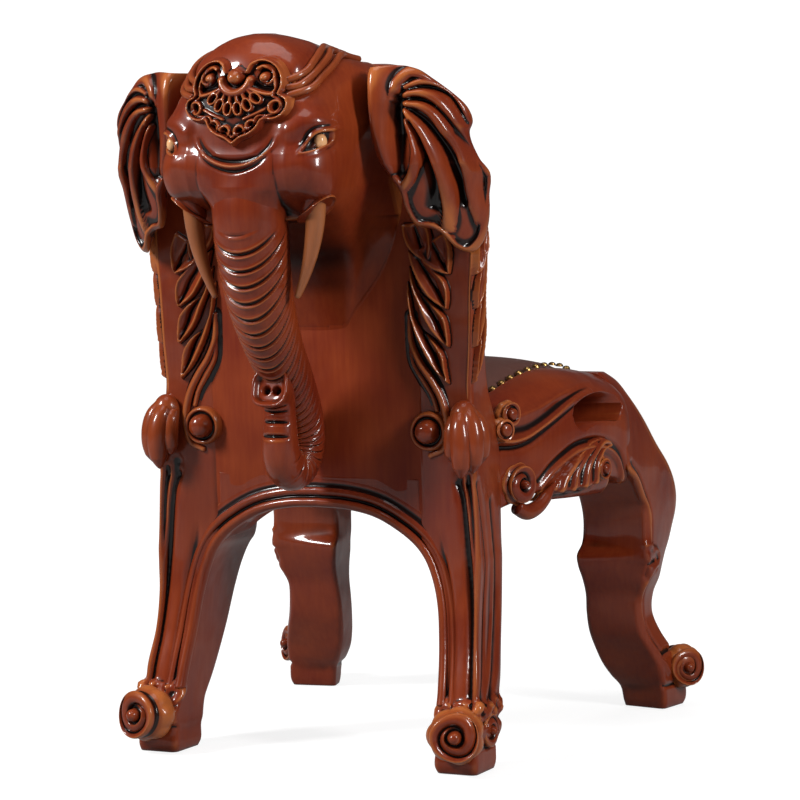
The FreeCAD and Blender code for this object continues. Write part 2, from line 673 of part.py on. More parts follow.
rear_glide_x = post_foot_inner + d.post_foot_width / 2
rear_glide_y = plane_y(0) + d.post_foot_flare - d.post_foot_depth / 2
front_glide_x = leg_foot_inner + d.leg_foot_width / 2
front_glide_y = d.leg_foot_back - d.leg_foot_depth / 2


def glide_bore(x, y):
    """The stepped hole in a foot for its glide."""
    stem = Part.makeCylinder(d.glide_stem_radius + d.joint_gap,
                             d.glide_height + d.glide_stem + d.joint_gap, V(x, y, 0))
    disc = Part.makeCylinder(d.glide_radius + d.joint_gap, d.glide_height, V(x, y, 0))
    return stem.fuse(disc)


post_shape = post_blank.cut([rear_mortise, arch_mortise, crest_bore, back_rail_bore,
                             glide_bore(rear_glide_x, rear_glide_y)])
leg_shape = leg_blank.cut([front_mortise, front_rail_mortise,
                           glide_bore(front_glide_x, front_glide_y)])
for word, side in SIDES:
    feature("rear_post_" + word, mirrored(post_shape, side))
    feature("front_leg_" + word, mirrored(leg_shape, side))
    feature("side_rail_" + word, mirrored(rail_shape, side))

# Back panel, crest rail and arch rail, sawn from boards in the back's frame.
BOLTS = [("%ssizes.bolt_x" % sign, "sizes.panel_rise - sizes.bolt_%s_below" % row)
         for sign in ("", "-") for row in ("low", "high")]
panel = doc.addObject("PartDesign::Body", "back_panel")
panel_face = outline(panel, "XZ_Plane", [
    ("-sizes.panel_half_width", "0"),
    ("sizes.panel_half_width", "0"),
    ("sizes.panel_half_width", "sizes.panel_rise"),
    ("-sizes.panel_half_width", "sizes.panel_rise"),
], "panel_face")
pad(panel, panel_face, "sizes.panel_thick", "panel_pad")
doc.recompute()
panel_holes = circles(panel, "XZ_Plane", BOLTS, "sizes.bolt_diameter / 2 + sizes.joint_gap",
                      "panel_holes")
drilled = panel.newObject("PartDesign::Pocket", "panel_drilled")
drilled.Profile = panel_holes
drilled.Type = "ThroughAll"
drilled.Midplane = True
doc.recompute()
bolt_seats = circles(panel, "XZ_Plane", BOLTS, "sizes.bolt_head / 2 + sizes.joint_gap", "bolt_seats")
bolt_seats.setExpression("AttachmentOffset.Base.z", "sizes.panel_thick")
sunk = panel.newObject("PartDesign::Pocket", "panel_sunk")
sunk.Profile = bolt_seats
sunk.Type = "Length"
sunk.setExpression("Length", "sizes.bolt_head_height")
panel.Placement = back_frame
keep(panel, "back_panel")

crest = doc.addObject("PartDesign::Body", "crest_rail")
crest_end = "(sizes.panel_half_width + sizes.crest_reach)"
crest_low = "(sizes.panel_rise + sizes.crest_height - sizes.crest_fall)"
crest_face = outline(crest, "XZ_Plane", [
    ("-" + crest_end, "sizes.panel_rise"),
    (crest_end, "sizes.panel_rise"),
    (crest_end, crest_low),
    ("sizes.head_half_width", "sizes.panel_rise + sizes.crest_height"),
    ("-sizes.head_half_width", "sizes.panel_rise + sizes.crest_height"),
    ("-" + crest_end, crest_low),
], "crest_face")
pad(crest, crest_face, "sizes.crest_thick", "crest_pad")
doc.recompute()
crest_spot = "(sizes.panel_half_width + sizes.crest_reach * 0.6)"
crest_holes = circles(crest, "XY_Plane", [(crest_spot, "-sizes.crest_thick / 2"),
                                          ("-" + crest_spot, "-sizes.crest_thick / 2")],
                      "sizes.dowel_diameter / 2 + sizes.joint_gap", "crest_holes")
crest_bored = crest.newObject("PartDesign::Pocket", "crest_bored")
crest_bored.Profile = crest_holes
crest_bored.Type = "Length"
crest_bored.setExpression("Length", "sizes.panel_rise + sizes.dowel_length / 2 + sizes.joint_gap")
crest_bored.Reversed = True
crest.Placement = back_frame
keep(crest, "crest_rail")

arch = doc.addObject("PartDesign::Body", "arch_rail")
arch_face = new_sketch(arch, "XZ_Plane", "arch_face")
half = d.panel_half_width
arch_hump = d.arch_drop - d.arch_rise
arch_bend = (half ** 2 + arch_hump ** 2) / (2 * arch_hump)
arch_turn = math.asin(half / arch_bend)
for a, b in ((V(-half, -d.arch_drop), V(-half, 0)), (V(-half, 0), V(half, 0)),
             (V(half, 0), V(half, -d.arch_drop))):
    arch_face.addGeometry(Part.LineSegment(a, b), False)
arch_circle = Part.Circle(V(0, -d.arch_rise - arch_bend, 0), V(0, 0, 1), arch_bend)
arch_face.addGeometry(Part.ArcOfCircle(arch_circle, math.pi / 2 - arch_turn,
                                       math.pi / 2 + arch_turn), False)
for first, first_end, second, second_end in ((0, 2, 1, 1), (1, 2, 2, 1), (2, 2, 3, 1), (3, 2, 0, 1)):
    arch_face.addConstraint(
        Sketcher.Constraint("Coincident", first, first_end, second, second_end))
pin(arch_face, 0, 1, "-sizes.panel_half_width", "-sizes.arch_drop")
pin(arch_face, 1, 1, "-sizes.panel_half_width", "0")
pin(arch_face, 2, 1, "sizes.panel_half_width", "0")
pin(arch_face, 2, 2, "sizes.panel_half_width", "-sizes.arch_drop")
hump_text = "(sizes.arch_drop - sizes.arch_rise)"
bend_text = "(sizes.panel_half_width ^ 2 + %s ^ 2) / (2 * %s)" % (hump_text, hump_text)
bend_number = arch_face.addConstraint(Sketcher.Constraint("Radius", 3, value(bend_text)))
arch_face.setExpression("Constraints[%d]" % bend_number, bend_text)
pad(arch, arch_face, "sizes.post_seat_depth - sizes.arch_setback", "arch_pad")
doc.recompute()


def stub_tenons(body, name, corners, shoulder):
    """Tenons on both ends of a rail that runs along X, rooted inside its shoulders."""
    for word, sign, backwards in (("left", "", False), ("right", "-", True)):
        stub = outline(body, "YZ_Plane", corners, "%s_%s_face" % (name, word))
        stub.setExpression("AttachmentOffset.Base.z", "%s(%s - sizes.tenon_thick)" % (sign, shoulder))
        pad(body, stub, "sizes.tenon_length + sizes.tenon_thick", "%s_%s" % (name, word),
            backwards=backwards)
        doc.recompute()


arch_middle = "(-(sizes.post_seat_depth - sizes.arch_setback) / 2 %s sizes.tenon_thick / 2)"
stub_tenons(arch, "arch_tenon", [
    (arch_middle % "-", "-sizes.arch_drop + sizes.tenon_thick"),
    (arch_middle % "+", "-sizes.arch_drop + sizes.tenon_thick"),
    (arch_middle % "+", "-sizes.tenon_thick"),
    (arch_middle % "-", "-sizes.tenon_thick"),
], "sizes.panel_half_width")
arch.Placement = back_frame
keep(arch, "arch_rail")

# Front rail between the leg blocks, its top edge bevelled for the leather.
front_rail = doc.addObject("PartDesign::Body", "front_rail")
front_low = "sizes.front_rail_top - sizes.front_rail_height"
front_back = "sizes.front_rail_face + sizes.front_rail_thick"
front_profile = outline(front_rail, "YZ_Plane", [
    ("sizes.front_rail_face", front_low),
    (front_back, front_low),
    (front_back, "sizes.front_rail_top"),
    ("sizes.front_rail_face + sizes.front_rail_round", "sizes.front_rail_top"),
    ("sizes.front_rail_face", "sizes.front_rail_top - sizes.front_rail_round"),
], "front_rail_profile")
pad(front_rail, front_profile, "2 * (sizes.panel_half_width + sizes.leg_block_inner)", "front_rail_pad",
    both_ways=True)
doc.recompute()
front_middle = "(sizes.front_rail_face + sizes.front_rail_thick / 2 %s sizes.tenon_thick / 2)"
stub_tenons(front_rail, "front_tenon", [
    (front_middle % "-", front_low + " + sizes.tenon_thick"),
    (front_middle % "+", front_low + " + sizes.tenon_thick"),
    (front_middle % "+", "sizes.front_rail_top - sizes.tenon_thick"),
    (front_middle % "-", "sizes.front_rail_top - sizes.tenon_thick"),
], "(sizes.panel_half_width + sizes.leg_block_inner)")
keep(front_rail, "front_rail")

# Rear seat rail between the posts, on one dowel at each end.
def primitive(kind, name, **sizes):
    """A Part primitive with its sizes bound to the sheet."""
    made = doc.addObject(kind, name)
    for key, text in sizes.items():
        made.setExpression(key, text)
    return made


back_bar = primitive("Part::Box", "back_rail_bar", Length="2 * sizes.panel_half_width",
                     Width="sizes.back_rail_thick", Height="sizes.back_rail_height")
back_bar.Placement.Base = V(-d.panel_half_width, back_rail_y, back_rail_low)
back_bore_depth = ("sizes.tenon_thick / 2 + sizes.back_rail_gap + sizes.dowel_length + sizes.joint_gap"
                   " - (sizes.rail_rear_inner + sizes.rail_rear_outer) / 2")
bores = []
for word, side in SIDES:
    bore = primitive("Part::Cylinder", "back_rail_bore_" + word,
                     Radius="sizes.dowel_diameter / 2 + sizes.joint_gap",
                     Height=back_bore_depth)
    bore.Placement = turned(
        V(side * d.panel_half_width, back_rail_y + d.back_rail_thick / 2,
          d.back_rail_top - d.back_rail_height / 2), V(-side, 0, 0))
    bores.append(bore)
both_bores = doc.addObject("Part::MultiFuse", "back_rail_bores")
both_bores.Shapes = bores
back_rail = doc.addObject("Part::Cut", "rear_seat_rail")
back_rail.Base = back_bar
back_rail.Tool = both_bores
keep(back_rail, "rear_seat_rail")

dowel_pin = primitive("Part::Cylinder", "dowel_pin", Radius="sizes.dowel_diameter / 2",
                      Height="sizes.dowel_length")
doc.recompute()
dowel_places = []
for word, side in SIDES:
    dowel_places.append(back_frame.multiply(turned(
        V(side * crest_dowel_x, crest_dowel_v, d.panel_rise - d.dowel_length / 2), V(0, 0, 1))))
    dowel_places.append(turned(
        V(side * back_dowel_x, back_rail_y + d.back_rail_thick / 2,
          d.back_rail_top - d.back_rail_height / 2), V(side, 0, 0)))
trunk_dowel = V(0, d.trunk_root_out, head_bottom - d.dowel_length / 2)
dowel_places.append(back_frame.multiply(turned(trunk_dowel, V(0, 0, 1))))
copies("frame_dowels", dowel_pin.Shape, dowel_places)

# Seat: a moulded board between the rails, foam on it, leather drawn over and nailed.
nose_y = d.front_rail_face + d.front_rail_thick
lip_y = d.front_rail_face + d.front_rail_round
nose_top = d.front_rail_top + d.board_sink - d.rebate_depth
lip_top = d.front_rail_top + d.rebate_depth
SEAT_STATIONS = [(y, inner, top, 1) for y, inner, outer, top, bottom in STATIONS]
SEAT_STATIONS.append((nose_y, leg_block_inner, nose_top, 1))
SEAT_STATIONS.append((lip_y, leg_block_inner, lip_top, 0.4))
SEAT_STATIONS.append((d.front_rail_face, leg_block_inner, lip_top - d.front_rail_round, 0.3))
behind_seat = box(-d.ear_reach, d.ear_reach, d.seat_rear_y, 2 * d.back_plane_y, 0, head_top)
ahead_of_board = box(-d.ear_reach, d.ear_reach, 2 * d.front_rail_face, nose_y + d.soft_gap,
                     0, head_top)
over_front_rail = box(-d.ear_reach, d.ear_reach, 2 * d.front_rail_face, nose_y + d.soft_gap,
                      0, d.front_rail_top + d.soft_gap)
ahead_of_foam = box(-d.ear_reach, d.ear_reach, 2 * d.front_rail_face, lip_y, 0, head_top)


def board_section(y, inner, top, swell, over=0):
    """An upright cut through the seat board, or through it and the space over it."""
    half_width = inner - 2 * d.soft_gap
    high = top - d.board_sink + over
    low = top - d.board_sink - d.board_thick
    return polygon([V(-half_width, y, low), V(half_width, y, low), V(half_width, y, high),
                    V(-half_width, y, high)])


def foam_section(y, inner, top, swell):
    """An upright cut through the foam: flat below, drawn-in sides, crowned top."""
    low = top - d.board_sink + d.soft_gap
    edge = inner - 4 * d.soft_gap
    drawn = edge - 4 * d.soft_gap
    shoulder = low + d.foam_edge
    crown = shoulder + swell * (d.foam_crown - d.foam_edge)
    corner = (V(-drawn, y, low), V(drawn, y, low), V(edge, y, shoulder), V(-edge, y, shoulder))
    return Part.Wire([
        Part.LineSegment(corner[0], corner[1]).toShape(),
        Part.LineSegment(corner[1], corner[2]).toShape(),
        Part.Arc(corner[2], V(0, y, crown), corner[3]).toShape(),
        Part.LineSegment(corner[3], corner[0]).toShape(),
    ])


def leather_section(y, inner, top, swell):
    """An upright cut through the leather: a flat edge each side and a crowned middle."""
    low = top - d.rebate_depth + d.soft_gap
    high = low + d.leather_thick
    crown = low + swell * (d.foam_crown - d.foam_edge)
    reach = inner + d.rebate_width - 2 * d.soft_gap
    start = inner - 2 * d.soft_gap
    return Part.Wire([
        Part.LineSegment(V(-reach, y, low), V(-start, y, low)).toShape(),
        Part.Arc(V(-start, y, low), V(0, y, crown), V(start, y, low)).toShape(),
        Part.LineSegment(V(start, y, low), V(reach, y, low)).toShape(),
        Part.LineSegment(V(reach, y, low), V(reach, y, high)).toShape(),
        Part.LineSegment(V(reach, y, high), V(start, y, high)).toShape(),
        Part.Arc(V(start, y, high), V(0, y, crown + d.leather_thick), V(-start, y, high)).toShape(),
        Part.LineSegment(V(-start, y, high), V(-reach, y, high)).toShape(),
        Part.LineSegment(V(-reach, y, high), V(-reach, y, low)).toShape(),
    ])


board_blank = loft([board_section(*station) for station in SEAT_STATIONS])
board_blank = board_blank.cut([behind_seat, ahead_of_board])
foam_shape = loft([foam_section(*station) for station in SEAT_STATIONS])
foam_shape = foam_shape.cut([behind_seat, over_front_rail, ahead_of_foam])
leather_shape = loft([leather_section(*station) for station in SEAT_STATIONS]).cut(behind_seat)
for word, side in SIDES:
    edge = leg_block_inner - 2 * d.soft_gap
    beside = box(edge, 2 * d.ear_reach, 2 * d.front_rail_face, d.leg_block_back + 2 * d.soft_gap,
                 0, head_top)
    leather_shape = leather_shape.cut(mirrored(beside, side))

# Corner blocks under the board, each with one screw up into it.
over_blocks = loft([board_section(*station, d.block_leg) for station in SEAT_STATIONS])
block_hole = d.screw_shank / 2 + d.joint_gap
front_corner = (leg_block_inner, d.front_rail_face + d.front_rail_thick)
rear_corner = (d.panel_half_width, back_rail_y)


def board_under(y):
    """Rough height of the board's underside: straight lines between its stations."""
    for behind, ahead in zip(SEAT_STATIONS, SEAT_STATIONS[1:]):
        if ahead[0] <= y <= behind[0]:
            share = (y - behind[0]) / (ahead[0] - behind[0])
            top = behind[2] + share * (ahead[2] - behind[2])
    return top - d.board_sink - d.board_thick


def corner_block(corner, along):
    """A three-cornered block under the seat, and the line of its screw."""
    x, y = corner
    level = board_under(y + along * d.block_leg / 3)
    low = level - d.block_height
    base = polygon([V(x, y, low), V(x, y + along * d.block_leg, low), V(x - d.block_leg, y, low)])
    blank = Part.Face(base).extrude(V(0, 0, d.block_height + d.block_leg / 2))
    spot = V(x - d.block_leg * 0.3, y + along * d.block_leg * 0.3, low)
    return blank.cut([over_blocks, rail_shape, leg_blank, post_blank]), spot


screw = doc.addObject("PartDesign::Body", "seat_screw")
revolve(screw, [
    ("0", "-sizes.screw_head_height"),
    ("sizes.screw_head / 2 - sizes.screw_head_height / 3", "-sizes.screw_head_height"),
    ("sizes.screw_head / 2", "0"),
    ("sizes.screw_shank / 2", "0"),
    ("sizes.screw_shank / 2", "sizes.screw_length"),
    ("0", "sizes.screw_length + sizes.screw_shank / 2"),
], "seat_screw_turned")
doc.recompute()
screw_places = []
board_shape = board_blank
for place, corner, along in (("front", front_corner, 1), ("rear", rear_corner, -1)):
    shape, spot = corner_block(corner, along)
    for word, side in SIDES:
        here = V(side * spot.x, spot.y, spot.z)
        bore = Part.makeCylinder(block_hole, d.screw_length + d.screw_shank, here)
        feature("corner_block_%s_%s" % (place, word), mirrored(shape, side).cut(bore))
        board_shape = board_shape.cut(bore)
        screw_places.append(turned(here, V(0, 0, 1)))
copies("seat_screws", screw.Shape, screw_places)
feature("seat_board", board_shape)
feature("seat_foam", foam_shape)

# Domed nail heads along the leather's edge on each rail.
nail = doc.addObject("PartDesign::Body", "seat_nail")
revolve(nail, [
    ("0", "0"),
    ("sizes.nail_head / 2", "0"),
    ("sizes.nail_head / 2 * 0.86", "sizes.nail_proud * 0.5"),
    ("sizes.nail_head / 2 * 0.5", "sizes.nail_proud * 0.87"),
    ("0", "sizes.nail_proud"),
], "seat_nail_turned")
doc.recompute()
nail_line = Part.BSplineCurve()
nail_line.interpolate([
    V(inner + d.rebate_width / 2, y, top - d.rebate_depth + 2 * d.soft_gap + d.leather_thick)
    for y, inner, top, swell in SEAT_STATIONS[:5]])
nail_first = nail_line.parameter(V(rail_rear_inner, d.seat_rear_y - d.nail_head, d.rail_rear_top))
nail_last = nail_line.parameter(V(leg_block_inner, d.leg_block_back + d.nail_head,
                                  d.rail_front_top))
nail_run = nail_line.length(nail_first, nail_last)
nail_count = int(nail_run // d.nail_pitch) + 1
nail_places = []
for i in range(nail_count):
    here = nail_line.parameterAtDistance(nail_run * i / (nail_count - 1), nail_first)
    spot = nail_line.value(here)
    along = V(*nail_line.tangent(here)[0])
    normal = (V(0, 0, 1) - along * along.z).normalize()
    above = Part.Vertex(spot + normal * d.nail_head)
    spot = spot + normal * (d.nail_head - above.distToShape(leather_shape)[0] + d.soft_gap)
    for word, side in SIDES:
        nail_places.append(turned(V(side * spot.x, spot.y, spot.z),
                                  V(side * normal.x, normal.y, normal.z)))
copies("seat_nails", nail.Shape, nail_places)
feature("seat_leather", leather_shape)

# Back pad, in the back's frame: a board on the panel, foam on it, leather round the foam.
pad_half = d.panel_half_width - d.pad_side_gap
pad_top = d.panel_rise - d.pad_side_gap / 2
pad_plane = -d.panel_thick - d.pad_board_thick
pad_board = doc.addObject("PartDesign::Body", "back_board")
pad_side = "(sizes.panel_half_width - sizes.pad_side_gap - sizes.pad_side_gap)"
pad_face = outline(pad_board, "XZ_Plane", [
    ("-" + pad_side, "sizes.pad_bottom + sizes.pad_side_gap"),
    (pad_side, "sizes.pad_bottom + sizes.pad_side_gap"),
    (pad_side, "sizes.panel_rise - sizes.pad_side_gap"),
    ("-" + pad_side, "sizes.panel_rise - sizes.pad_side_gap"),
], "back_board_face")
pad_face.setExpression("AttachmentOffset.Base.z", "sizes.panel_thick")
pad(pad_board, pad_face, "sizes.pad_board_thick", "back_board_pad")
pad_board.Placement = back_frame
keep(pad_board, "back_board")
PAD_STATIONS = (
    (d.pad_bottom, d.pad_lumbar_edge, d.pad_lumbar_crown),
    (d.pad_bottom + (pad_top - d.pad_bottom) * 0.25, d.pad_edge, d.pad_crown),
    (d.pad_bottom + (pad_top - d.pad_bottom) * 0.7, d.pad_edge, d.pad_crown),
    (pad_top, d.pad_end_edge, d.pad_end_crown),
)


def pad_section(w, edge, crown, trim):
    """A cut across the back pad: flat behind, drawn-in sides, crowned front."""
    back = pad_plane - d.soft_gap
    half_width = pad_half - trim
    drawn = half_width - 2 * d.pad_side_gap
    corner = (V(-drawn, back, w), V(drawn, back, w), V(half_width, back - edge + trim, w),
              V(-half_width, back - edge + trim, w))
    return Part.Wire([
        Part.LineSegment(corner[0], corner[1]).toShape(),
        Part.LineSegment(corner[1], corner[2]).toShape(),
        Part.Arc(corner[2], V(0, back - crown + trim, w), corner[3]).toShape(),
        Part.LineSegment(corner[3], corner[0]).toShape(),
    ])


pad_solid = loft([pad_section(*station, 0) for station in PAD_STATIONS])
pad_space = loft([pad_section(*station, d.leather_thick) for station in PAD_STATIONS])
pad_foam = loft([pad_section(*station, d.leather_thick + d.soft_gap) for station in PAD_STATIONS])
feature("back_foam", pad_foam, back_frame)
feature("back_leather", pad_solid.cut(pad_space), back_frame)

# Elephant head: level cuts through a domed block, flat against the panel.
HEAD_CUTS = (
    # share of height, then shares of half width at the panel, temple and brow, share of reach
    (0.00, 0.68, 0.74, 0.68, 1.02),
    (0.12, 0.86, 0.88, 0.80, 1.02),
    (0.28, 1.02, 0.98, 0.84, 1.03),
    (0.44, 1.08, 1.00, 0.83, 1.00),
    (0.64, 1.08, 0.97, 0.75, 0.94),
    (0.83, 0.95, 0.85, 0.60, 0.86),
    (0.95, 0.66, 0.58, 0.38, 0.76),
    (1.00, 0.30, 0.26, 0.17, 0.66),
)
head_rise = head_top - head_bottom


def head_section(share, at_panel, temple, brow, reach, grow):
    """A level cut through the head, grown all round by a skin."""
    w = head_bottom + share * head_rise
    out = d.head_reach * reach + grow
    half_points = [
        (d.head_half_width * at_panel + grow, 0),
        (d.head_half_width * temple + grow, out * 0.45),
        (d.head_half_width * brow + grow, out * 0.80),
        (d.head_half_width * brow * 0.55 + grow * 0.5, out * 0.955),
    ]
    right = [V(x, v, w) for x, v in half_points]
    left = [V(-x, v, w) for x, v in reversed(half_points)]
    front = spline(right + [V(0, out, w)] + left)
    return Part.Wire([front, Part.LineSegment(left[-1], right[0]).toShape()])


def head_block(grow):
    """The head's block, grown by a skin."""
    return loft([head_section(*cut, grow) for cut in HEAD_CUTS])


head_blank = head_block(0)
bolt_bite = d.bolt_length + d.bolt_head_height - d.panel_thick + d.joint_gap
eye_spot = V(d.eye_x, d.eye_out, eye_level)
tusk_spot = V(d.tusk_x, d.tusk_out, head_bottom)
head_holes = [
    Part.makeSphere(d.eye_radius + d.joint_gap, eye_spot),
    Part.makeCylinder(d.tusk_peg_radius + d.joint_gap, d.tusk_peg_length + d.joint_gap, tusk_spot),
]
for level in (bolt_low, bolt_high):
    head_holes.append(Part.makeCylinder(d.bolt_diameter / 2 + d.joint_gap, bolt_bite,
                                        V(d.bolt_x, 0, level), V(0, 1, 0)))
head_shape = head_blank
for word, side in SIDES:
    for hole in head_holes:
        head_shape = head_shape.cut(mirrored(hole, side))
trunk_bore = Part.makeCylinder(dowel_bore, d.dowel_length + 2 * d.joint_gap,
                               trunk_dowel - V(0, 0, d.joint_gap))
feature("elephant_head", head_shape.cut(trunk_bore), back_frame)
for word, side in SIDES:
    bead = primitive("Part::Sphere", "eye_" + word, Radius="sizes.eye_radius")
    bead.Placement = back_frame.multiply(
        FreeCAD.Placement(V(side * eye_spot.x, eye_spot.y, eye_spot.z), FreeCAD.Rotation()))
    keep(bead, "eye_" + word)

bolt = doc.addObject("PartDesign::Body", "head_bolt")
revolve(bolt, [
    ("0", "-sizes.bolt_head_height"),
    ("sizes.bolt_head / 2", "-sizes.bolt_head_height"),
    ("sizes.bolt_head / 2", "0"),
    ("sizes.bolt_diameter / 2", "0"),
    ("sizes.bolt_diameter / 2", "sizes.bolt_length"),
    ("0", "sizes.bolt_length"),
], "head_bolt_turned")
doc.recompute()
bolt_places = []
for word, side in SIDES:
    for level in (bolt_low, bolt_high):
        seat = V(side * d.bolt_x, d.bolt_head_height - d.panel_thick, level)
        bolt_places.append(back_frame.multiply(turned(seat, V(0, 1, 0))))
copies("head_bolts", bolt.Shape, bolt_places)

# Trunk: rings along a line that falls from the head, turns under and curls up to its tip.
trunk_fall = head_bottom - d.trunk_low
trunk_step = d.trunk_root_out - d.trunk_wall_out
trunk_climb = d.trunk_tip_level - d.trunk_low
trunk_line = Part.BSplineCurve()
trunk_line.interpolate([
    V(0, d.trunk_root_out, head_bottom),
    V(0, d.trunk_root_out - 0.07 * trunk_step, head_bottom - 0.17 * trunk_fall),
    V(0, d.trunk_root_out - 0.20 * trunk_step, head_bottom - 0.33 * trunk_fall),
    V(0, d.trunk_root_out - 0.48 * trunk_step, head_bottom - 0.52 * trunk_fall),
    V(0, d.trunk_root_out - 0.80 * trunk_step, head_bottom - 0.68 * trunk_fall),
    V(0, d.trunk_wall_out, head_bottom - 0.86 * trunk_fall),
    V(0, (d.trunk_wall_out + d.trunk_curl_out) / 2, d.trunk_low),
    V(0, d.trunk_curl_out, d.trunk_low + 0.28 * trunk_climb),
    V(0, d.trunk_curl_out - d.trunk_root_radius * 0.2, d.trunk_low + 0.62 * trunk_climb),
    V(0, d.trunk_curl_out, d.trunk_tip_level),
])
trunk_run = trunk_line.length()


def ring(point, along, radius):
    """A circle across a line that lies in the middle plane."""
    edge = Part.makeCircle(radius)
    turn = math.degrees(math.atan2(-along.y, along.z))
    edge.Placement = FreeCAD.Placement(point, FreeCAD.Rotation(V(1, 0, 0), turn))
    return Part.Wire([edge])


ring_steps = int(2 * d.trunk_rings)
trunk_rings = []
for i in range(ring_steps + 1):
    share = i / ring_steps
    here = trunk_line.parameterAtDistance(trunk_run * share, trunk_line.FirstParameter)
    along = V(0, 0, -1) if i == 0 else V(*trunk_line.tangent(here)[0])
    taper = d.trunk_root_radius + (d.trunk_tip_radius - d.trunk_root_radius) * share ** 1.2
    groove = d.trunk_ring_depth if i % 2 else 0
    flare = d.trunk_flare * max(0, share * 10 - 9) ** 2
    trunk_rings.append(ring(trunk_line.value(here), along, taper - groove + flare))
trunk_shape = loft(trunk_rings).cut(trunk_bore)
tip_end = trunk_line.value(trunk_line.LastParameter)
tip_along = V(*trunk_line.tangent(trunk_line.LastParameter)[0])
for word, side in SIDES:
    start = tip_end - tip_along * d.nostril_depth + V(side * d.trunk_tip_radius * 0.45, 0, 0)
    trunk_shape = trunk_shape.cut(
        Part.makeCylinder(d.nostril_radius, 2 * d.nostril_depth, start, tip_along))
feature("trunk", trunk_shape, back_frame)

# Tusks: tapered, curving in toward the trunk, each on a peg in the head's underside.
TUSK_STEPS = 6
tusk_rings = []
for i in range(TUSK_STEPS + 1):
    share = i / TUSK_STEPS
    spot = tusk_spot + V(-d.tusk_turn_in * share ** 2, d.tusk_tip_out * share, -d.tusk_drop * share)
    radius = d.tusk_radius + (d.tusk_tip_radius - d.tusk_radius) * share ** 1.4
    tusk_rings.append(Part.Wire([Part.makeCircle(radius, spot)]))
tusk_peg = Part.makeCylinder(d.tusk_peg_radius, d.tusk_peg_length, tusk_spot)
tusk_shape = loft(tusk_rings).fuse(tusk_peg)
for word, side in SIDES:
    feature("tusk_" + word, mirrored(tusk_shape, side), back_frame)

# Ears: level cuts through a pleated fan, fitted against the head.
EAR_CUTS = (
    # share of height, then shares of the way from root to outer edge
    (0.00, 0.73, 0.82),
    (0.10, 0.65, 0.91),
    (0.22, 0.49, 0.96),
    (0.36, 0.27, 1.00),
    (0.54, 0.04, 1.00),
    (0.71, 0.00, 0.98),
    (0.86, 0.00, 0.88),
    (0.96, 0.09, 0.69),
    (1.00, 0.24, 0.51),
)
EAR_POINTS = 14
ear_rise = ear_top - ear_tip_level
ear_span = d.ear_reach - d.ear_root_x
ear_pivot = ear_tip_level + 0.8 * ear_rise


def ear_surface(x, w):
    """How far out the middle of the ear lies: a flat slant with pleats fanning from its root."""
    slant = d.ear_root_out + (d.ear_edge_out - d.ear_root_out) * (x - d.ear_root_x) / ear_span
    turn = math.atan2(w - ear_pivot, x - d.ear_root_x)
    far = min(1, math.hypot(x - d.ear_root_x, w - ear_pivot) / ear_span)
    wave = math.cos(turn * d.ear_pleats * 2 * math.pi / math.radians(d.ear_fan))
    return slant + d.ear_pleat * far * wave


def ear_section(share, near, far):
    """A level cut through the ear: a waved strip."""
    w = ear_tip_level + share * ear_rise
    front = []
    back = []
    for i in range(EAR_POINTS + 1):
        across = near + (far - near) * i / EAR_POINTS
        x = d.ear_root_x + across * ear_span
        thick = d.ear_thick * (1 - 0.35 * across)
        middle = ear_surface(x, w)
        front.append(V(x, middle + thick / 2, w))
        back.append(V(x, middle - thick / 2, w))
    back.reverse()
    return Part.Wire([spline(front), Part.LineSegment(front[-1], back[0]).toShape(),
                      spline(back), Part.LineSegment(back[-1], front[0]).toShape()])


ear_shape = loft([ear_section(*cut) for cut in EAR_CUTS]).cut(head_blank)
for word, side in SIDES:
    feature("ear_" + word, mirrored(ear_shape, side), back_frame)

# Forehead plaque: a cusped plate bent over the brow.
plaque_low = plaque_bottom
plaque_mid = plaque_middle
plaque_high = plaque_top
wide = d.plaque_half_width
plaque_half = (
    ((0, plaque_low), (0.62 * wide, 0.8 * plaque_low + 0.2 * plaque_mid), (wide, plaque_mid)),
    ((wide, plaque_mid), (0.97 * wide, 0.4 * plaque_mid + 0.6 * plaque_high),
     (0.6 * wide, plaque_high)),
    ((0.6 * wide, plaque_high), (0.3 * wide, 0.12 * plaque_mid + 0.88 * plaque_high),
     (0, 0.2 * plaque_mid + 0.8 * plaque_high)),
)
plaque_edges = []
for first, middle, last in plaque_half:
    plaque_edges.append(Part.Arc(*[V(x, 0, w) for x, w in (first, middle, last)]).toShape())
for first, middle, last in reversed(plaque_half):
    plaque_edges.append(Part.Arc(*[V(-x, 0, w) for x, w in (last, middle, first)]).toShape())
plaque_blank = Part.Face(Part.Wire(plaque_edges)).extrude(V(0, 2 * d.head_reach, 0))
plaque_shape = plaque_blank.common(head_block(d.plaque_proud)).cut(head_blank)
feature("forehead_plaque", plaque_shape, back_frame)

# Carved leaves on the posts: scalloped strips with bevelled sides.


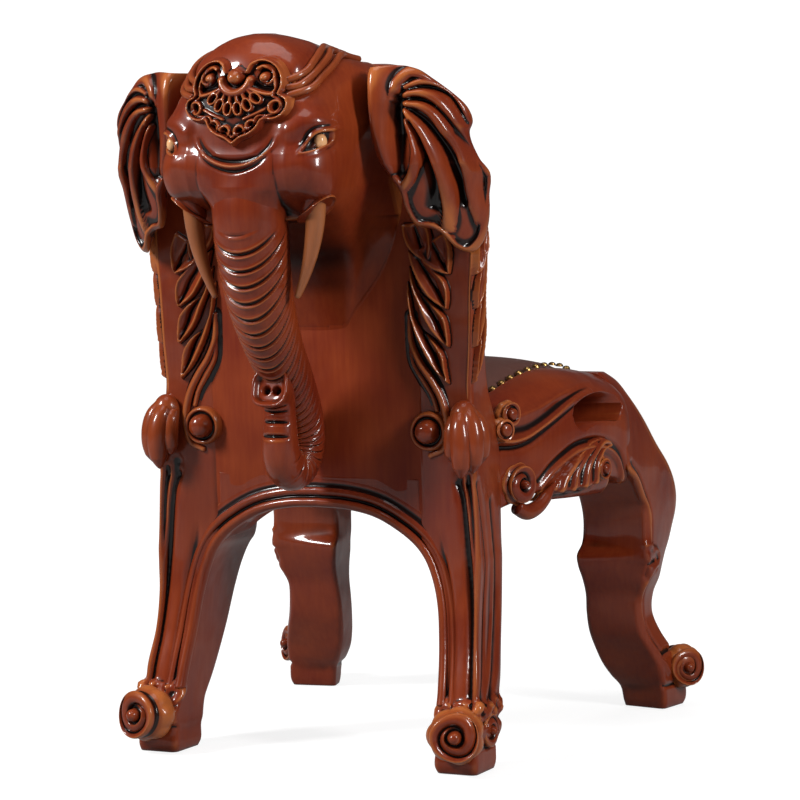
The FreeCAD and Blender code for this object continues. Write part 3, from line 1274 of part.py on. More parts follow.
def leaf(stem, notch, tip, root, spot):
    """A leaf strip from its root depth to its face; spot places (across, out, up)."""
    away = 1 if tip > stem else -1
    height = d.leaf_pitch * d.leaf_tips

    def cut(out, inset):
        edges = []
        inner = stem + away * inset
        low = d.leaf_bottom + inset
        high = d.leaf_bottom + height - inset
        dip = notch - away * inset
        point = tip - away * inset
        for i in range(int(d.leaf_tips)):
            top = high if i == 0 else d.leaf_bottom + height - i * d.leaf_pitch
            foot = d.leaf_bottom + height - (i + 1) * d.leaf_pitch
            foot = max(foot, low)
            drop = top - foot
            edges.append(Part.Arc(spot(dip, out, top), spot(point, out, top - 0.42 * drop),
                                  spot(point - away, out, top - 0.76 * drop)).toShape())
            edges.append(Part.Arc(spot(point - away, out, top - 0.76 * drop),
                                  spot((dip + point) / 2, out, top - 0.93 * drop),
                                  spot(dip, out, foot)).toShape())
        edges.append(Part.LineSegment(spot(dip, out, low), spot(inner, out, low)).toShape())
        edges.append(Part.LineSegment(spot(inner, out, low), spot(inner, out, high)).toShape())
        edges.append(Part.LineSegment(spot(inner, out, high), spot(dip, out, high)).toShape())
        return Part.Wire(edges)

    return loft([cut(root, 0), cut(0.5 * d.leaf_proud, 0), cut(d.leaf_proud, d.leaf_bevel)], ruled=True)


post_leaf = leaf(leaf_inner, leaf_notch, leaf_tip, 0, lambda a, out, w: V(a, out, w))
waist_out = d.panel_half_width + d.post_waist_width
shoulder_out = d.panel_half_width + d.post_shoulder_width
side_slope = (shoulder_out - waist_out) / (d.post_shoulder_level - d.post_waist_level)


def on_side(a, out, w):
    """A point over the post's outer face, for a leaf drawn flat."""
    rise = w + d.seam_level - d.post_waist_level
    return V(waist_out + side_slope * rise + out, a, w)


side_leaf = leaf(d.side_leaf_stem, d.side_leaf_notch, d.side_leaf_tip, -d.leaf_proud, on_side)
side_leaf = leaned(side_leaf).cut(post_shape)
knob = doc.addObject("PartDesign::Body", "knob_blank")
revolve(knob, [
    ("0", "0"),
    ("sizes.knob_ring_radius", "0"),
    ("sizes.knob_ring_radius", "sizes.knob_ring_proud * 0.6"),
    ("sizes.knob_ring_radius * 0.82", "sizes.knob_ring_proud"),
    ("sizes.knob_radius", "sizes.knob_ring_proud * 0.7"),
    ("sizes.knob_radius", "sizes.knob_proud * 0.7"),
    ("sizes.knob_radius * 0.6", "sizes.knob_proud"),
    ("0", "sizes.knob_proud"),
], "knob_turned")
doc.recompute()
drop_rings = []
DROP_SHAPE = ((0, 0), (0.2, 0.55), (0.45, 1), (0.75, 0.6), (1, 0))
drop_x = d.panel_half_width + d.post_seat_width
for share, swell in DROP_SHAPE:
    radius = d.drop_end_radius + swell * (d.drop_radius - d.drop_end_radius)
    spot = V(drop_x, 0, d.drop_bottom + share * d.drop_height)
    drop_rings.append(Part.Wire([Part.makeCircle(radius, spot)]))
drop_shape = leaned(loft(drop_rings)).cut(post_shape)
for word, side in SIDES:
    feature("post_leaf_" + word, mirrored(post_leaf, side), back_frame)
    feature("side_leaf_" + word, mirrored(side_leaf, side))
    feature("corner_drop_" + word, mirrored(drop_shape, side))
    knob_seat = turned(V(side * knob_x, 0, d.knob_level), V(0, 1, 0))
    feature("knob_" + word, knob.Shape.copy(), back_frame.multiply(knob_seat))

# Scrolls on the side rails.


def rail_face(y):
    """A point's X on the rail's outer face, and the way that the face looks, in plan."""
    for behind, ahead in zip(STATIONS, STATIONS[1:]):
        if ahead[0] <= y <= behind[0]:
            share = (y - behind[0]) / (ahead[0] - behind[0])
            x = behind[2] + share * (ahead[2] - behind[2])
            facing = V(behind[0] - ahead[0], ahead[2] - behind[2], 0).normalize()
    return x, facing


def rail_volute(y, z, radius, proud):
    """A volute set on the rail's outer face."""
    x, facing = rail_face(y)
    shape = volute(radius, proud, -proud, radius * 0.4, proud * 0.5)
    shape.Placement = turned(V(x, y, z), facing)
    return shape


ARM_STEPS = 10
arm_line = Part.BSplineCurve()
arm_span = d.rail_scroll_y - d.rail_scroll_end_y
arm_points = []
for share, height in ((0, 0.86), (0.25, 1.5), (0.5, 1.95), (0.75, 1.75), (1, 1)):
    y = d.rail_scroll_y - share * arm_span
    level = d.rail_scroll_level + share * (d.rail_scroll_end_level - d.rail_scroll_level)
    arm_points.append(V(rail_face(y)[0], y, level + d.rail_scroll_radius * (height - share * 0.5)))
arm_line.interpolate(arm_points)
arm_run = arm_line.length()
arm_rings = []
for i in range(ARM_STEPS + 1):
    here = arm_line.parameterAtDistance(arm_run * i / ARM_STEPS, arm_line.FirstParameter)
    edge = Part.makeCircle(d.rail_scroll_arm)
    edge.Placement = turned(arm_line.value(here), V(*arm_line.tangent(here)[0]))
    arm_rings.append(Part.Wire([edge]))
rail_scroll = loft(arm_rings).fuse([
    rail_volute(d.rail_scroll_y, d.rail_scroll_level, d.rail_scroll_radius, d.rail_scroll_proud),
    rail_volute(d.rail_scroll_end_y, d.rail_scroll_end_level, d.rail_scroll_end_radius,
                d.rail_scroll_proud),
]).cut([rail_shape, post_shape])
rail_end = rail_volute(d.rail_volute_y, d.rail_volute_level, d.rail_volute_radius,
                       d.rail_volute_proud)
lower_level = d.rail_volute_level - d.rail_volute_radius - d.rail_volute_small * 0.8
rail_end = rail_end.fuse(rail_volute(d.rail_volute_y + d.rail_volute_small, lower_level,
                                     d.rail_volute_small, d.rail_volute_proud))
rail_end = rail_end.cut([rail_shape, post_shape])
for word, side in SIDES:
    feature("rail_scroll_" + word, mirrored(rail_scroll, side))
    feature("rail_volute_" + word, mirrored(rail_end, side))

# Glides let into the feet.
glide = doc.addObject("PartDesign::Body", "foot_glide")
revolve(glide, [
    ("0", "0"),
    ("sizes.glide_radius - sizes.glide_proud", "0"),
    ("sizes.glide_radius", "sizes.glide_proud"),
    ("sizes.glide_radius", "sizes.glide_height"),
    ("sizes.glide_stem_radius", "sizes.glide_height"),
    ("sizes.glide_stem_radius", "sizes.glide_height + sizes.glide_stem"),
    ("0", "sizes.glide_height + sizes.glide_stem"),
], "foot_glide_turned")
doc.recompute()
copies("foot_glides", glide.Shape, [
    turned(V(side * x, y, 0), V(0, 0, 1))
    for word, side in SIDES
    for x, y in ((rear_glide_x, rear_glide_y), (front_glide_x, front_glide_y))])

doc.recompute()
for obj in doc.Objects:
    for word in ("Invalid", "Error"):
        if word in obj.State:
            raise RuntimeError("%s did not build" % obj.Label)
for obj in nodes:
    if obj.Shape.isNull() or not obj.Shape.isValid():
        raise RuntimeError("%s has no valid shape" % obj.Label)
for obj in nodes:
    obj.Shape.exportStep("parts/%s.step" % obj.Label)
    print(obj.Label, len(obj.Shape.Solids), "solids", round(obj.Shape.Volume / 1000, 1), "cm3")
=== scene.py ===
# %% [markdown]
# # Carved elephant stool: its looks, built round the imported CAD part
# The stool is carved mahogany: an elephant's head on the back, leaves on the posts, scrolls on the feet.
# A carver works from a sawn blank, so each piece here starts as a plain surface of two parameters,
# and the carving is then pushed in and out of it along drawn lines. Sizes are millimetres until the end.

# %% Load the frame
import json
import math

import bpy
import numpy as np
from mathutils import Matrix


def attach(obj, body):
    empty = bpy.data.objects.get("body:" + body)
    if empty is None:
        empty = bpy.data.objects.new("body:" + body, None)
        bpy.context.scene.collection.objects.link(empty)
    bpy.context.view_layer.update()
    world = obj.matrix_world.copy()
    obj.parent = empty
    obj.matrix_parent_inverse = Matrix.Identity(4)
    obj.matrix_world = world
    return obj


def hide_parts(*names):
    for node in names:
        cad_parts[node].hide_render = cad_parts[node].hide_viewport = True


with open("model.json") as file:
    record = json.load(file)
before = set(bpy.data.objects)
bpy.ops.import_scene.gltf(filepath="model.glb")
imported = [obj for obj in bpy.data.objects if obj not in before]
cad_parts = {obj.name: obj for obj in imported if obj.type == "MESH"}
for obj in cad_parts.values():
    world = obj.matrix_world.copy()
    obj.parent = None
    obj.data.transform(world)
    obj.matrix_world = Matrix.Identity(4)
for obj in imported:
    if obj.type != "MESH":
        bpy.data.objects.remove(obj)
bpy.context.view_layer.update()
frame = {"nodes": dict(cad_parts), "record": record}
print(len(frame["nodes"]), "CAD nodes")

# %% [markdown]
# ## The back's own frame
# The back leans 4 degrees from a seam 260 mm over the floor. Its pieces are drawn upright, as x across,
# v out of the rear face and w up, and leaned over last, as the joiner draws them flat on the board.

# %% Back frame
LEAN = math.radians(4)
SEAM_Y, SEAM_Z = 149, 260
SIDES = (("left", 1), ("right", -1))


def coords(*parts):
    """The parts of points, each spread to the shape of all, as one array."""
    return np.stack(np.broadcast_arrays(*parts), -1)


def leaned(points):
    """Points (x, v, w) of the upright back, turned by the lean about X and set on the seam."""
    x, v, w = np.moveaxis(np.asarray(points, float), -1, 0)
    y = SEAM_Y + v * math.cos(LEAN) + w * math.sin(LEAN)
    z = SEAM_Z - v * math.sin(LEAN) + w * math.cos(LEAN)
    return coords(x, y, z)


def through(knots, values, at):
    """Smooth curve through values at knots: cubics whose slope at a knot is the mean of its neighbours'."""
    knots = np.asarray(knots, float)
    values = np.asarray(values, float).reshape(len(knots), -1)
    at = np.asarray(at, float)
    step = np.diff(knots)[:, None]
    slope = np.diff(values, axis=0) / step
    slope = np.vstack([slope[:1], (slope[1:] + slope[:-1]) / 2, slope[-1:]])
    i = np.clip(np.searchsorted(knots, at, side="right") - 1, 0, len(knots) - 2)
    s = ((at - knots[i]) / step[i, 0])[..., None]
    rise = (3 * s ** 2 - 2 * s ** 3) * (values[i + 1] - values[i])
    bend = (s ** 3 - 2 * s ** 2 + s) * slope[i] + (s ** 3 - s ** 2) * slope[i + 1]
    curve = values[i] + rise + bend * step[i]
    return curve[..., 0] if values.shape[1] == 1 else curve


def ramp(values, start, end):
    """0 at start and 1 at end, straight between them and level beyond."""
    return np.clip((values - start) / (end - start), 0, 1)


def bell(values, middle, width):
    """1 at a middle, falling off on both sides as a Gaussian of a width."""
    return np.exp(-((values - middle) / width) ** 2)


def circle(count):
    """Equal angles once round."""
    return np.linspace(0, 2 * np.pi, count, endpoint=False)


def run_of(points):
    """Length along a line up to each of its points."""
    return np.concatenate([[0], np.cumsum(np.linalg.norm(np.diff(points, axis=0), axis=1))])


def along(points, count):
    """A smooth line through points, at equal steps of its length."""
    points = np.asarray(points, float)
    if len(points) > 2:
        run = run_of(points)
        points = through(run, points, np.linspace(0, run[-1], 4 * count))
    run = run_of(points)
    even = np.linspace(0, run[-1], count)
    return np.stack([np.interp(even, run, c) for c in points.T], -1)


print("lean", round(math.degrees(LEAN), 1), "degrees")

# %% [markdown]
# ## Carving tools
# A gouge cuts along a line, and a bead is left standing along one. Each stroke is such a line with a width
# and a height, and the surface moves along its own normals near it. The stain and glaze of the real stool
# stay in the hollows and are rubbed off the edges, so each point also keeps how deep it lies.

# %% Carving tools


def normals_of(grid):
    """Unit normals of a grid whose columns close on themselves: the cross product of its two slopes."""
    down = np.gradient(grid, axis=0)
    across = np.roll(grid, -1, 1) - np.roll(grid, 1, 1)
    normal = np.cross(across, down)
    length = np.linalg.norm(normal, axis=-1, keepdims=True)
    normal = normal / np.maximum(length, 1e-9)
    middle = grid.mean((0, 1))
    return normal * np.sign(((grid - middle) * normal).sum())


STEPS = 120  # points that each stroke's line is drawn with
FINE, BROAD = 2.2, 7.0  # mm round a point that its depth and its hollow are told over
TURNED = 0.35  # carving fades where less than this share of a normal faces the carver
# Ways to carve a grid: the two axes that lines are drawn in, and where the carver stands.
REAR, SIDE, FRONT = ((0, 2), (0, 1, 0)), ((1, 2), (1, 0, 0)), ((0, 2), (0, -1, 0))


def relief(places, strokes, open_to=None):
    """Height over a surface at places. A stroke is a line in the places' own coordinates, a width, a height
    and, for a bead, that word: its height times a half round of distance over width, or else a bell. Raised
    strokes keep the highest, sunk ones the lowest."""
    flat = places.reshape(-1, places.shape[-1])
    up = np.zeros(len(flat))
    down = np.zeros(len(flat))
    free = np.ones(len(flat), bool) if open_to is None else open_to.ravel()
    for line, width, height, *bead in strokes:
        path = along(line, STEPS)
        share = np.linspace(0, 1, STEPS)
        width = np.interp(share, np.linspace(0, 1, np.size(width)), np.ravel(width))
        height = np.interp(share, np.linspace(0, 1, np.size(height)), np.ravel(height))
        reach = 2.5 * width.max()
        near = free & (flat > path.min(0) - reach).all(1) & (flat < path.max(0) + reach).all(1)
        if not near.any():
            continue
        gap = ((flat[near][:, None, :] - path) ** 2).sum(-1)
        best = gap.argmin(1)
        s = np.sqrt(gap[np.arange(len(best)), best]) / width[best]
        lift = height[best] * (np.sqrt(np.clip(1 - s ** 2, 0, 1)) if bead else np.exp(-s ** 2))
        up[near] = np.maximum(up[near], lift)
        down[near] = np.minimum(down[near], lift)
    return (up + down).reshape(places.shape[:-1])


def carve(grid, strokes, axes=(0, 1, 2), facing=None):
    """The grid pushed along its normals by the relief of strokes, less where it turns away from facing."""
    normals = normals_of(grid)
    turned = np.ones(grid.shape[:2])
    if facing is not None:
        turned = np.clip(normals @ np.asarray(facing, float) / TURNED, 0, 1)
    return grid + normals * (turned * relief(grid[..., list(axes)], strokes, turned > 0))[..., None]


def shifted(strokes, step):
    """Strokes whose lines are moved a step along their first axis."""
    return [([(a + step, b) for a, b in line], *rest) for line, *rest in strokes]


def mirrored(strokes):
    """Strokes on the left, with the same on the right."""
    return strokes + [([(-p[0],) + tuple(p[1:]) for p in line], *rest) for line, *rest in strokes]


def blurred(values, axis, spread, closed):
    """A Gaussian mean along one axis, spread in grid steps."""
    half = max(1, int(math.ceil(2.5 * spread)))
    taps = np.arange(-half, half + 1)
    weight = np.exp(-0.5 * (taps / max(spread, 0.3)) ** 2)
    count = values.shape[axis]
    total = 0
    for tap, part in zip(taps, weight / weight.sum()):
        where = np.arange(count) + tap
        where = where % count if closed else np.clip(where, 0, count - 1)
        total = total + part * np.take(values, where, axis)
    return total


def softened(mask, down, across):
    """A mask with its edge blurred along both axes, by spreads in grid steps."""
    return blurred(blurred(mask.astype(float), 0, down, False), 1, across, False)


def depth_of(grid, reach):
    """How far each point lies under the mean of its neighbourhood, in mm: above 0 in a hollow."""
    down = np.median(np.linalg.norm(np.diff(grid, axis=0), axis=-1))
    across = np.median(np.linalg.norm(np.diff(grid, axis=1), axis=-1))
    mean = blurred(blurred(grid, 0, reach / down, False), 1, reach / across, True)
    return ((mean - grid) * normals_of(grid)).sum(-1)


print("strokes of", STEPS, "points")

# %% [markdown]
# ## From grids to pieces
# A piece is one or more closed skins: rows run along it, columns run round it, and each end closes on its
# middle. The right-hand piece is the left one mirrored, because the carver works to one pattern.

# %% Making pieces
pieces = []


def skin(name, grids, slot, nodes=(), plain=False, stain_and_shade=0.0):
    """One mesh of closed skins over grids (rows, columns, 3). Its points keep depth, how far they lie under
    the fine neighbourhood, and hollow, the same for the broad one, which drives rubbing, glaze and painted
    shade in the finish; both are 0 on a plain piece. A stain, glaze brushed on by hand and painted shade
    beside the leaves, is added to the depth."""
    points, loops, starts, deep, wide = [], [], [], [], []
    first, corner = 0, 0
    for grid in grids:
        n, m, _ = grid.shape
        i = np.arange(n - 1)[:, None] * m
        j = np.arange(m)
        k = (j + 1) % m
        quads = coords(i + j, i + k, i + m + k, i + m + j).reshape(-1, 4)
        top = coords(k, j, n * m)
        end = coords((n - 1) * m + j, (n - 1) * m + k, n * m + 1)
        caps = np.vstack([top, end])
        here = np.vstack([grid.reshape(-1, 3), grid[0].mean(0), grid[-1].mean(0)])
        a, b, c, e = (here[quads[:, q]] for q in range(4))
        if (np.cross(c - a, e - b) * (a - here.mean(0))).sum() < 0:
            quads, caps = quads[:, ::-1], caps[:, ::-1]
        points.append(here)
        deep.append(np.concatenate([(depth_of(grid, FINE) * (not plain) + stain_and_shade).ravel(), [0, 0]]))
        wide.append(np.concatenate([depth_of(grid, BROAD).ravel() * (not plain), [0, 0]]))
        loops += [quads.ravel() + first, caps.ravel() + first]
        starts += [corner + 4 * np.arange(len(quads)), corner + quads.size + 3 * np.arange(len(caps))]
        corner += quads.size + caps.size
        first += len(here)
    points = np.vstack(points)
    loops, starts = np.concatenate(loops), np.concatenate(starts)
    mesh = bpy.data.meshes.new(name)
    mesh.vertices.add(len(points))
    mesh.vertices.foreach_set("co", (points * 0.001).astype(np.float32).ravel())
    mesh.loops.add(len(loops))
    mesh.loops.foreach_set("vertex_index", loops.astype(np.int32))
    mesh.polygons.add(len(starts))
    mesh.polygons.foreach_set("loop_start", starts.astype(np.int32))
    mesh.polygons.foreach_set("use_smooth", np.ones(len(starts), bool))
    mesh.update(calc_edges=True)
    for word, values in (("depth", deep), ("hollow", wide)):
        layer = mesh.attributes.new(word, "FLOAT", "POINT")
        layer.data.foreach_set("value", np.concatenate(values).astype(np.float32))
    piece = bpy.data.objects.new(name, mesh)
    bpy.context.scene.collection.objects.link(piece)
    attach(piece, "root")
    if nodes:
        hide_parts(*nodes)
    pieces.append((piece, slot))
    print(name, len(starts), "faces")
    return piece


def pair(name, grids, slot="mahogany", stain_and_shade=0.0):
    """The left piece and its mirror image, each standing for the CAD node of its name."""
    for word, side in SIDES:
        whole = "%s_%s" % (name, word)
        skin(whole, [grid * (side, 1, 1) for grid in grids], slot, [whole], stain_and_shade=stain_and_shade)


def box_ring(corners, radius, count=34):
    """Rounded four-cornered rings, one per row: straight sides between corners that a parabola rounds
    over a radius. Corners are (rows, 4, 2) and radius is one number or one per row and corner."""
    radius = np.broadcast_to(np.asarray(radius, float), corners.shape[:2])[..., None]
    back = np.roll(corners, 1, 1) - corners
    ahead = np.roll(corners, -1, 1) - corners
    start = corners + radius * back / np.linalg.norm(back, axis=-1, keepdims=True)
    leave = corners + radius * ahead / np.linalg.norm(ahead, axis=-1, keepdims=True)
    bend = np.linspace(0, 1, 9)[:-1, None]
    run = np.linspace(0, 1, count)[:-1, None]
    parts = []
    for k in range(4):
        a, b, c = start[:, k, None], corners[:, k, None], leave[:, k, None]
        parts.append((1 - bend) ** 2 * a + 2 * bend * (1 - bend) * b + bend ** 2 * c)
        parts.append(c + run * (start[:, (k + 1) % 4, None] - c))
    return np.concatenate(parts, 1)


def level_rows(x0, x1, y0, y1, out_x=0.0, out_y=0.0):
    """Corners of level rows: outer front, outer rear drawn out by two amounts, inner rear, inner front."""
    x0, x1, y0, y1, out_x, out_y = np.broadcast_arrays(x0, x1, y0, y1, out_x, out_y)
    return np.stack([np.stack(c, -1) for c in ((x1, y0), (x1 + out_x, y1 + out_y), (x0, y1), (x0, y0))], 1)


def at_levels(rings, levels):
    """Level rings as points in space."""
    return coords(rings[..., 0], rings[..., 1], levels[:, None])


def slab(front, back):
    """A closed grid from a relief: its front, left to right, then its back, right to left."""
    return np.concatenate([front, back[:, ::-1]], 1)


def tube(line, radius, across=(1, 0, 0), count=24):
    """A round profile carried along a line: circles square to it, of a radius given per step."""
    line = np.asarray(line, float)
    go = np.gradient(line, axis=0)
    go = go / np.linalg.norm(go, axis=1, keepdims=True)
    side = np.cross(go, np.cross(np.asarray(across, float), go))
    side = side / np.linalg.norm(side, axis=1, keepdims=True)
    out = np.cross(go, side)
    turn = circle(count)
    radius = np.broadcast_to(radius, len(line))[:, None, None]
    ring = np.cos(turn)[:, None] * side[:, None] + np.sin(turn)[:, None] * out[:, None]
    return line[:, None] + radius * ring


print("tools ready")

# %% [markdown]
# ## Rear posts
# Each rear post is sawn from one plank: leg, seat joint and stile. Its four faces are curves of height.
# The leg kicks back and out to the scroll foot, so the foot stands wide and the stool doesn't tip.

# %% Post faces
POST = np.array([
    # height, inner x, outer x, front y, rear y, corner drawn out in x, in y
    (0.8, 130, 168, 130, 180, 0, 0), (6, 128, 169, 128, 182, 0, 0), (22, 128, 169, 127, 182, 0, 0),
    (27, 127, 170, 126, 185, 0, 0), (37, 127, 173, 124, 187, 0, 0), (46, 127, 171, 121, 183, 2, 2),
    (54, 127, 167, 115, 173, 2, 3), (62, 127, 164, 108, 169, 3, 5), (80, 126, 161, 97, 163, 5, 8),
    (112, 123, 156, 83, 153.5, 6, 9), (148, 118.5, 153, 73, 147, 8, 10),
    (171, 112.5, 152, 70, 145, 10, 11), (188, 105, 151.5, 69, 144.8, 11, 11),
    (195, 100, 151, 69, 145, 11, 11), (240, 100, 149, 67, 147.6, 11, 10),
    (272, 100, 147, 64, 149.84, 12, 8), (310, 100, 147, 76, 152.5, 9, 4),
    (340, 100, 149, 100, 154.6, 5, 0), (380, 100, 152, 115, 157.4, 4, 0),
    (420, 100, 154, 122, 160.2, 3, 0), (490, 100, 157, 130, 165.1, 2, 0),
    (530, 100, 150, 133, 167.9, 0, 0), (560, 100, 138, 135, 170, 0, 0), (580, 100, 128, 136, 171.4, 0, 0),
    (591.5, 100, 121, 137, 172.2, 0, 0)])


def post_face(z, which):
    """One value of the left post at heights z: 1 inner x, 2 outer x, 3 front y, 4 rear y, 5 and 6 how far
    its outer rear corner is drawn out."""
    return through(POST[:, 0], POST[:, which], z)


def post_side(z):
    """The outer face's x at heights z, at the rear corner's side."""
    return post_face(z, 2) + 0.5 * post_face(z, 5)


POST_EDGE = 7.0  # rounding of the post's long edges
heights = np.linspace(POST[0, 0], POST[-1, 0], 250)
post_corners = level_rows(*(post_face(heights, k) for k in range(1, 7)))
post = at_levels(box_ring(post_corners, POST_EDGE), heights)
REAR_CUTS = [
    ([(141, 268), (145, 240), (149, 195), (152, 150), (155, 107), (159, 62)], [5, 3.4, 2.8], [-4, -6.5, -5]),
    ([(150, 262), (153, 232), (154.5, 200), (155, 165)], [3.2, 2.6, 1], [-5, -4.6, 0]),
    ([(128, 226), (131, 200), (135, 170), (139, 130), (143, 96), (148, 62)], 8, [0, 1.8, 1.8, 1.4]),
    ([(120, 214), (125, 190), (131, 160), (136, 120), (139, 66)], 3.4, [0, -3.4, -4.2, -3.4]),
]
SIDE_CUTS = [
    ([(150, 256), (138, 215), (133, 184), (136, 150), (144, 108), (164, 62)], [3.5, 3, 2.6],
     [-4.4, -4, -3.4]),
    ([(124, 240), (116, 183), (120, 128), (135, 93), (155, 64)], [4.6, 3.4], [2, 2.6, 2]),
    ([(106, 236), (98, 183), (103, 128), (118, 93), (140, 60)], [5, 4.5, 3], [-4, -5.5, -3.5]),
    ([(86, 230), (84, 183), (90, 128), (104, 93), (126, 60)], 5, [1, 1.8, 1]),
]
COLLAR = [
    ([(126, 52), (131, 58), (138, 58), (143, 53)], 3.8, 3.6),
    ([(143, 53), (149, 61), (156, 61), (161, 54)], 3.8, 4.2),
    ([(161, 54), (166, 59), (172, 58), (176, 52)], 3.8, 3.4),
    ([(124, 45), (150, 46), (178, 45)], 2.6, -3),
    ([(126, 24.5), (150, 23.5), (178, 24.5)], 2.2, -2.2),
]
# The collar of leaves over the foot goes on round the side, in two lengths.
post = carve(post, REAR_CUTS + COLLAR, *REAR)
post = carve(post, SIDE_CUTS + shifted(COLLAR, -22), *SIDE)
post = carve(post, shifted(COLLAR, 16), *SIDE)
print("post", post.shape)

# %% [markdown]
# ## Scroll ends
# A scroll's end shows a spiral roll round a round eye. On a lathe-turned drum the carver cuts one spiral
# groove; here the face is a polar grid whose height drops along an Archimedean spiral.

# %% Volutes


def volute(radius, face, root, turns=1.7, hand=1, eye=0.27):
    """A drum's end in polar steps: height falls in a groove where radius times turns meets the angle,
    rises to a rolled band between, and to a ball at the eye. Behind the rim a groove parts it from a ring of
    seven lobes, which narrows to the root. Its axis is +Z."""
    face_rows, lip_rows, side_rows = 60, 8, 18
    back = np.linspace(0, 1, side_rows)
    swell_out = np.sin(np.pi * ramp(back, 0.15, 1))
    waist = 1 - 0.10 * bell(back, 0.13, 0.07) + 0.13 * swell_out - 0.26 * back ** 3
    lip = np.linspace(0.2, np.pi / 2, lip_rows)
    share = np.concatenate([np.linspace(0.02, 0.92, face_rows), 0.92 + 0.08 * np.sin(lip), waist])
    fall = np.concatenate([np.zeros(face_rows), 1 - np.cos(lip), np.ones(side_rows)])
    turn = circle(90)
    phase = (share[:, None] * turns - hand * turn / (2 * np.pi)) % 1
    band = np.sin(np.pi * phase) ** 0.55
    body = (ramp(share, eye, eye + 0.12) * np.clip((1.02 - share) / 0.1, 0.25, 1))[:, None]
    ball = np.sqrt(np.clip(1 - (share / eye) ** 2, 0, 1))[:, None]
    moat = bell(share, eye + 0.05, 0.06)[:, None]
    height = face - 0.24 * radius * (1 - band) * body - 0.17 * radius * moat + 0.30 * radius * ball
    height = height - 0.2 * radius * fall[:, None]
    height[-side_rows:] = np.linspace(face - 0.25 * radius, root, side_rows)[:, None]
    lobes = np.concatenate([np.zeros(face_rows + lip_rows), swell_out])[:, None] * np.abs(np.cos(3.5 * turn))
    ring = radius * share[:, None] * (1 + 0.03 * np.cos(3 * turn) + 0.09 * lobes)
    return coords(ring * np.cos(turn), ring * np.sin(turn), height)


def placed(grid, middle, facing):
    """A grid with its Z axis turned to face a way, its Y axis upright, and its origin at a middle."""
    out = np.asarray(facing, float) / np.linalg.norm(facing)
    side = np.cross((0.0, 0.0, 1.0), out)
    side = side / np.linalg.norm(side)
    return np.asarray(middle, float) + grid @ np.stack([side, np.cross(out, side), out])


back_scroll = placed(volute(22, 20, -18, hand=-1), (153, 189, 37), (0.3, 0.95, 0.05))
side_scroll = placed(volute(15, 6, -18), (168, 152, 37), (1, 0.1, 0.04))
pair("rear_post", [post, back_scroll, side_scroll])

# %% [markdown]
# ## Front legs
# The front legs are cabriole: a knee that swells forward and out, a slim ankle and a scroll foot.
# The rear edge has one small carved bump half way up: one bead runs down to it from the rail, and another
# runs on from it to the foot.

# %% Front legs
LEG = np.array([
    # height; x and y of the outer front, outer rear, inner rear and inner front corners; roundness in front
    (0.8, 215, -287, 208, -237, 162, -246, 170, -278, 8),
    (6, 217, -289, 210, -235, 161, -244, 169, -279, 8),
    (22, 217, -289, 210, -232, 158, -240, 166, -277, 8),
    (32, 217, -289, 210, -228, 152, -232, 157, -270, 10),
    (45, 216, -284, 209, -223, 146, -223, 147, -259, 12),
    (60, 210, -270, 204, -214, 141, -216, 142, -252, 14),
    (80, 202, -254, 196, -203, 137, -206, 139, -245, 14),
    (100, 196, -246, 193, -199, 136, -200, 138, -240, 14),
    (120, 197, -248, 195, -197, 137, -194, 139, -238, 16),
    (135, 201, -255, 202, -192, 136, -187, 139, -238, 18),
    (150, 202, -261, 209, -188, 133, -181, 138, -238, 20),
    (160, 203, -267, 209, -185, 132, -181, 138, -238, 20),
    (170, 205, -273, 207, -184, 134, -190, 138, -240, 20),
    (185, 207, -281, 206, -184, 135, -192, 140, -244, 22),
    (200, 208, -289, 206, -183, 136, -187, 143, -250, 22),
    (215, 209, -291, 205, -178, 137, -176, 146, -256, 24),
    (232, 208, -287, 204, -163, 138, -158, 146, -256, 26),
    (250, 206, -273, 203.5, -142, 139, -140, 144, -248, 28),
    (270, 202, -249, 202, -131, 139, -131, 141, -238, 28),
    (300, 196, -216, 198, -131, 139, -131, 139, -216, 26),
    (322, 189, -191, 191, -131, 139, -131, 139, -191, 24),
    (338, 181, -171, 182, -131, 139, -131, 139, -171, 18),
    (345.5, 173, -157, 174, -131, 139, -131, 139, -157, 12)])
heights = np.linspace(LEG[0, 0], LEG[-1, 0], 190)
leg_rows = through(LEG[:, 0], LEG[:, 1:], heights)
# The outer front edge has its own roundness; the other three keep 6, 6 and 9 mm.
edge_round = leg_rows[:, 8:] * (1, 0, 0, 0) + (0, 6, 6, 9)
leg = at_levels(box_ring(leg_rows[:, :8].reshape(-1, 4, 2), edge_round), heights)
LEG_CUTS = [
    ([(-140, 252), (-158, 240), (-174, 224), (-189, 206), (-193, 188), (-193, 170)], [3.4, 3.2, 2.6],
     [3.4, 3.2, 2.4]),
    ([(-146, 256), (-165, 243), (-181, 226), (-196, 207), (-200, 189), (-200, 172)], [3, 3, 2],
     [-3.4, -3.2, -2]),
    ([(-218, 150), (-207, 148), (-198, 142), (-197, 131), (-203, 116), (-206, 95), (-216, 71), (-231, 52),
      (-242, 38)], [4, 3, 3], [3, 2.6, 2.2]),
    ([(-224, 145), (-211, 142), (-205, 134), (-206, 120), (-211, 99), (-222, 76), (-238, 57)], [3, 3.4, 2.4],
     [-2, -3.4, -2]),
    ([(-186, 172), (-196, 171), (-204, 166)], 2.6, [1.5, 3, 1.5]),
    ([(-204, 166), (-216, 163), (-221, 156), (-213, 150)], 2.6, [2.6, 3, 1.5]),
    ([(-188, 152), (-197, 154), (-206, 155)], 2.2, -2.6),
    ([(-188, 150), (-191, 142), (-195, 138)], 2, -2),
    ([(-232, 57), (-252, 60), (-280, 58)], 2.6, -3.5),
    ([(-228, 24.5), (-292, 24.5)], 2.2, -2.2),
]
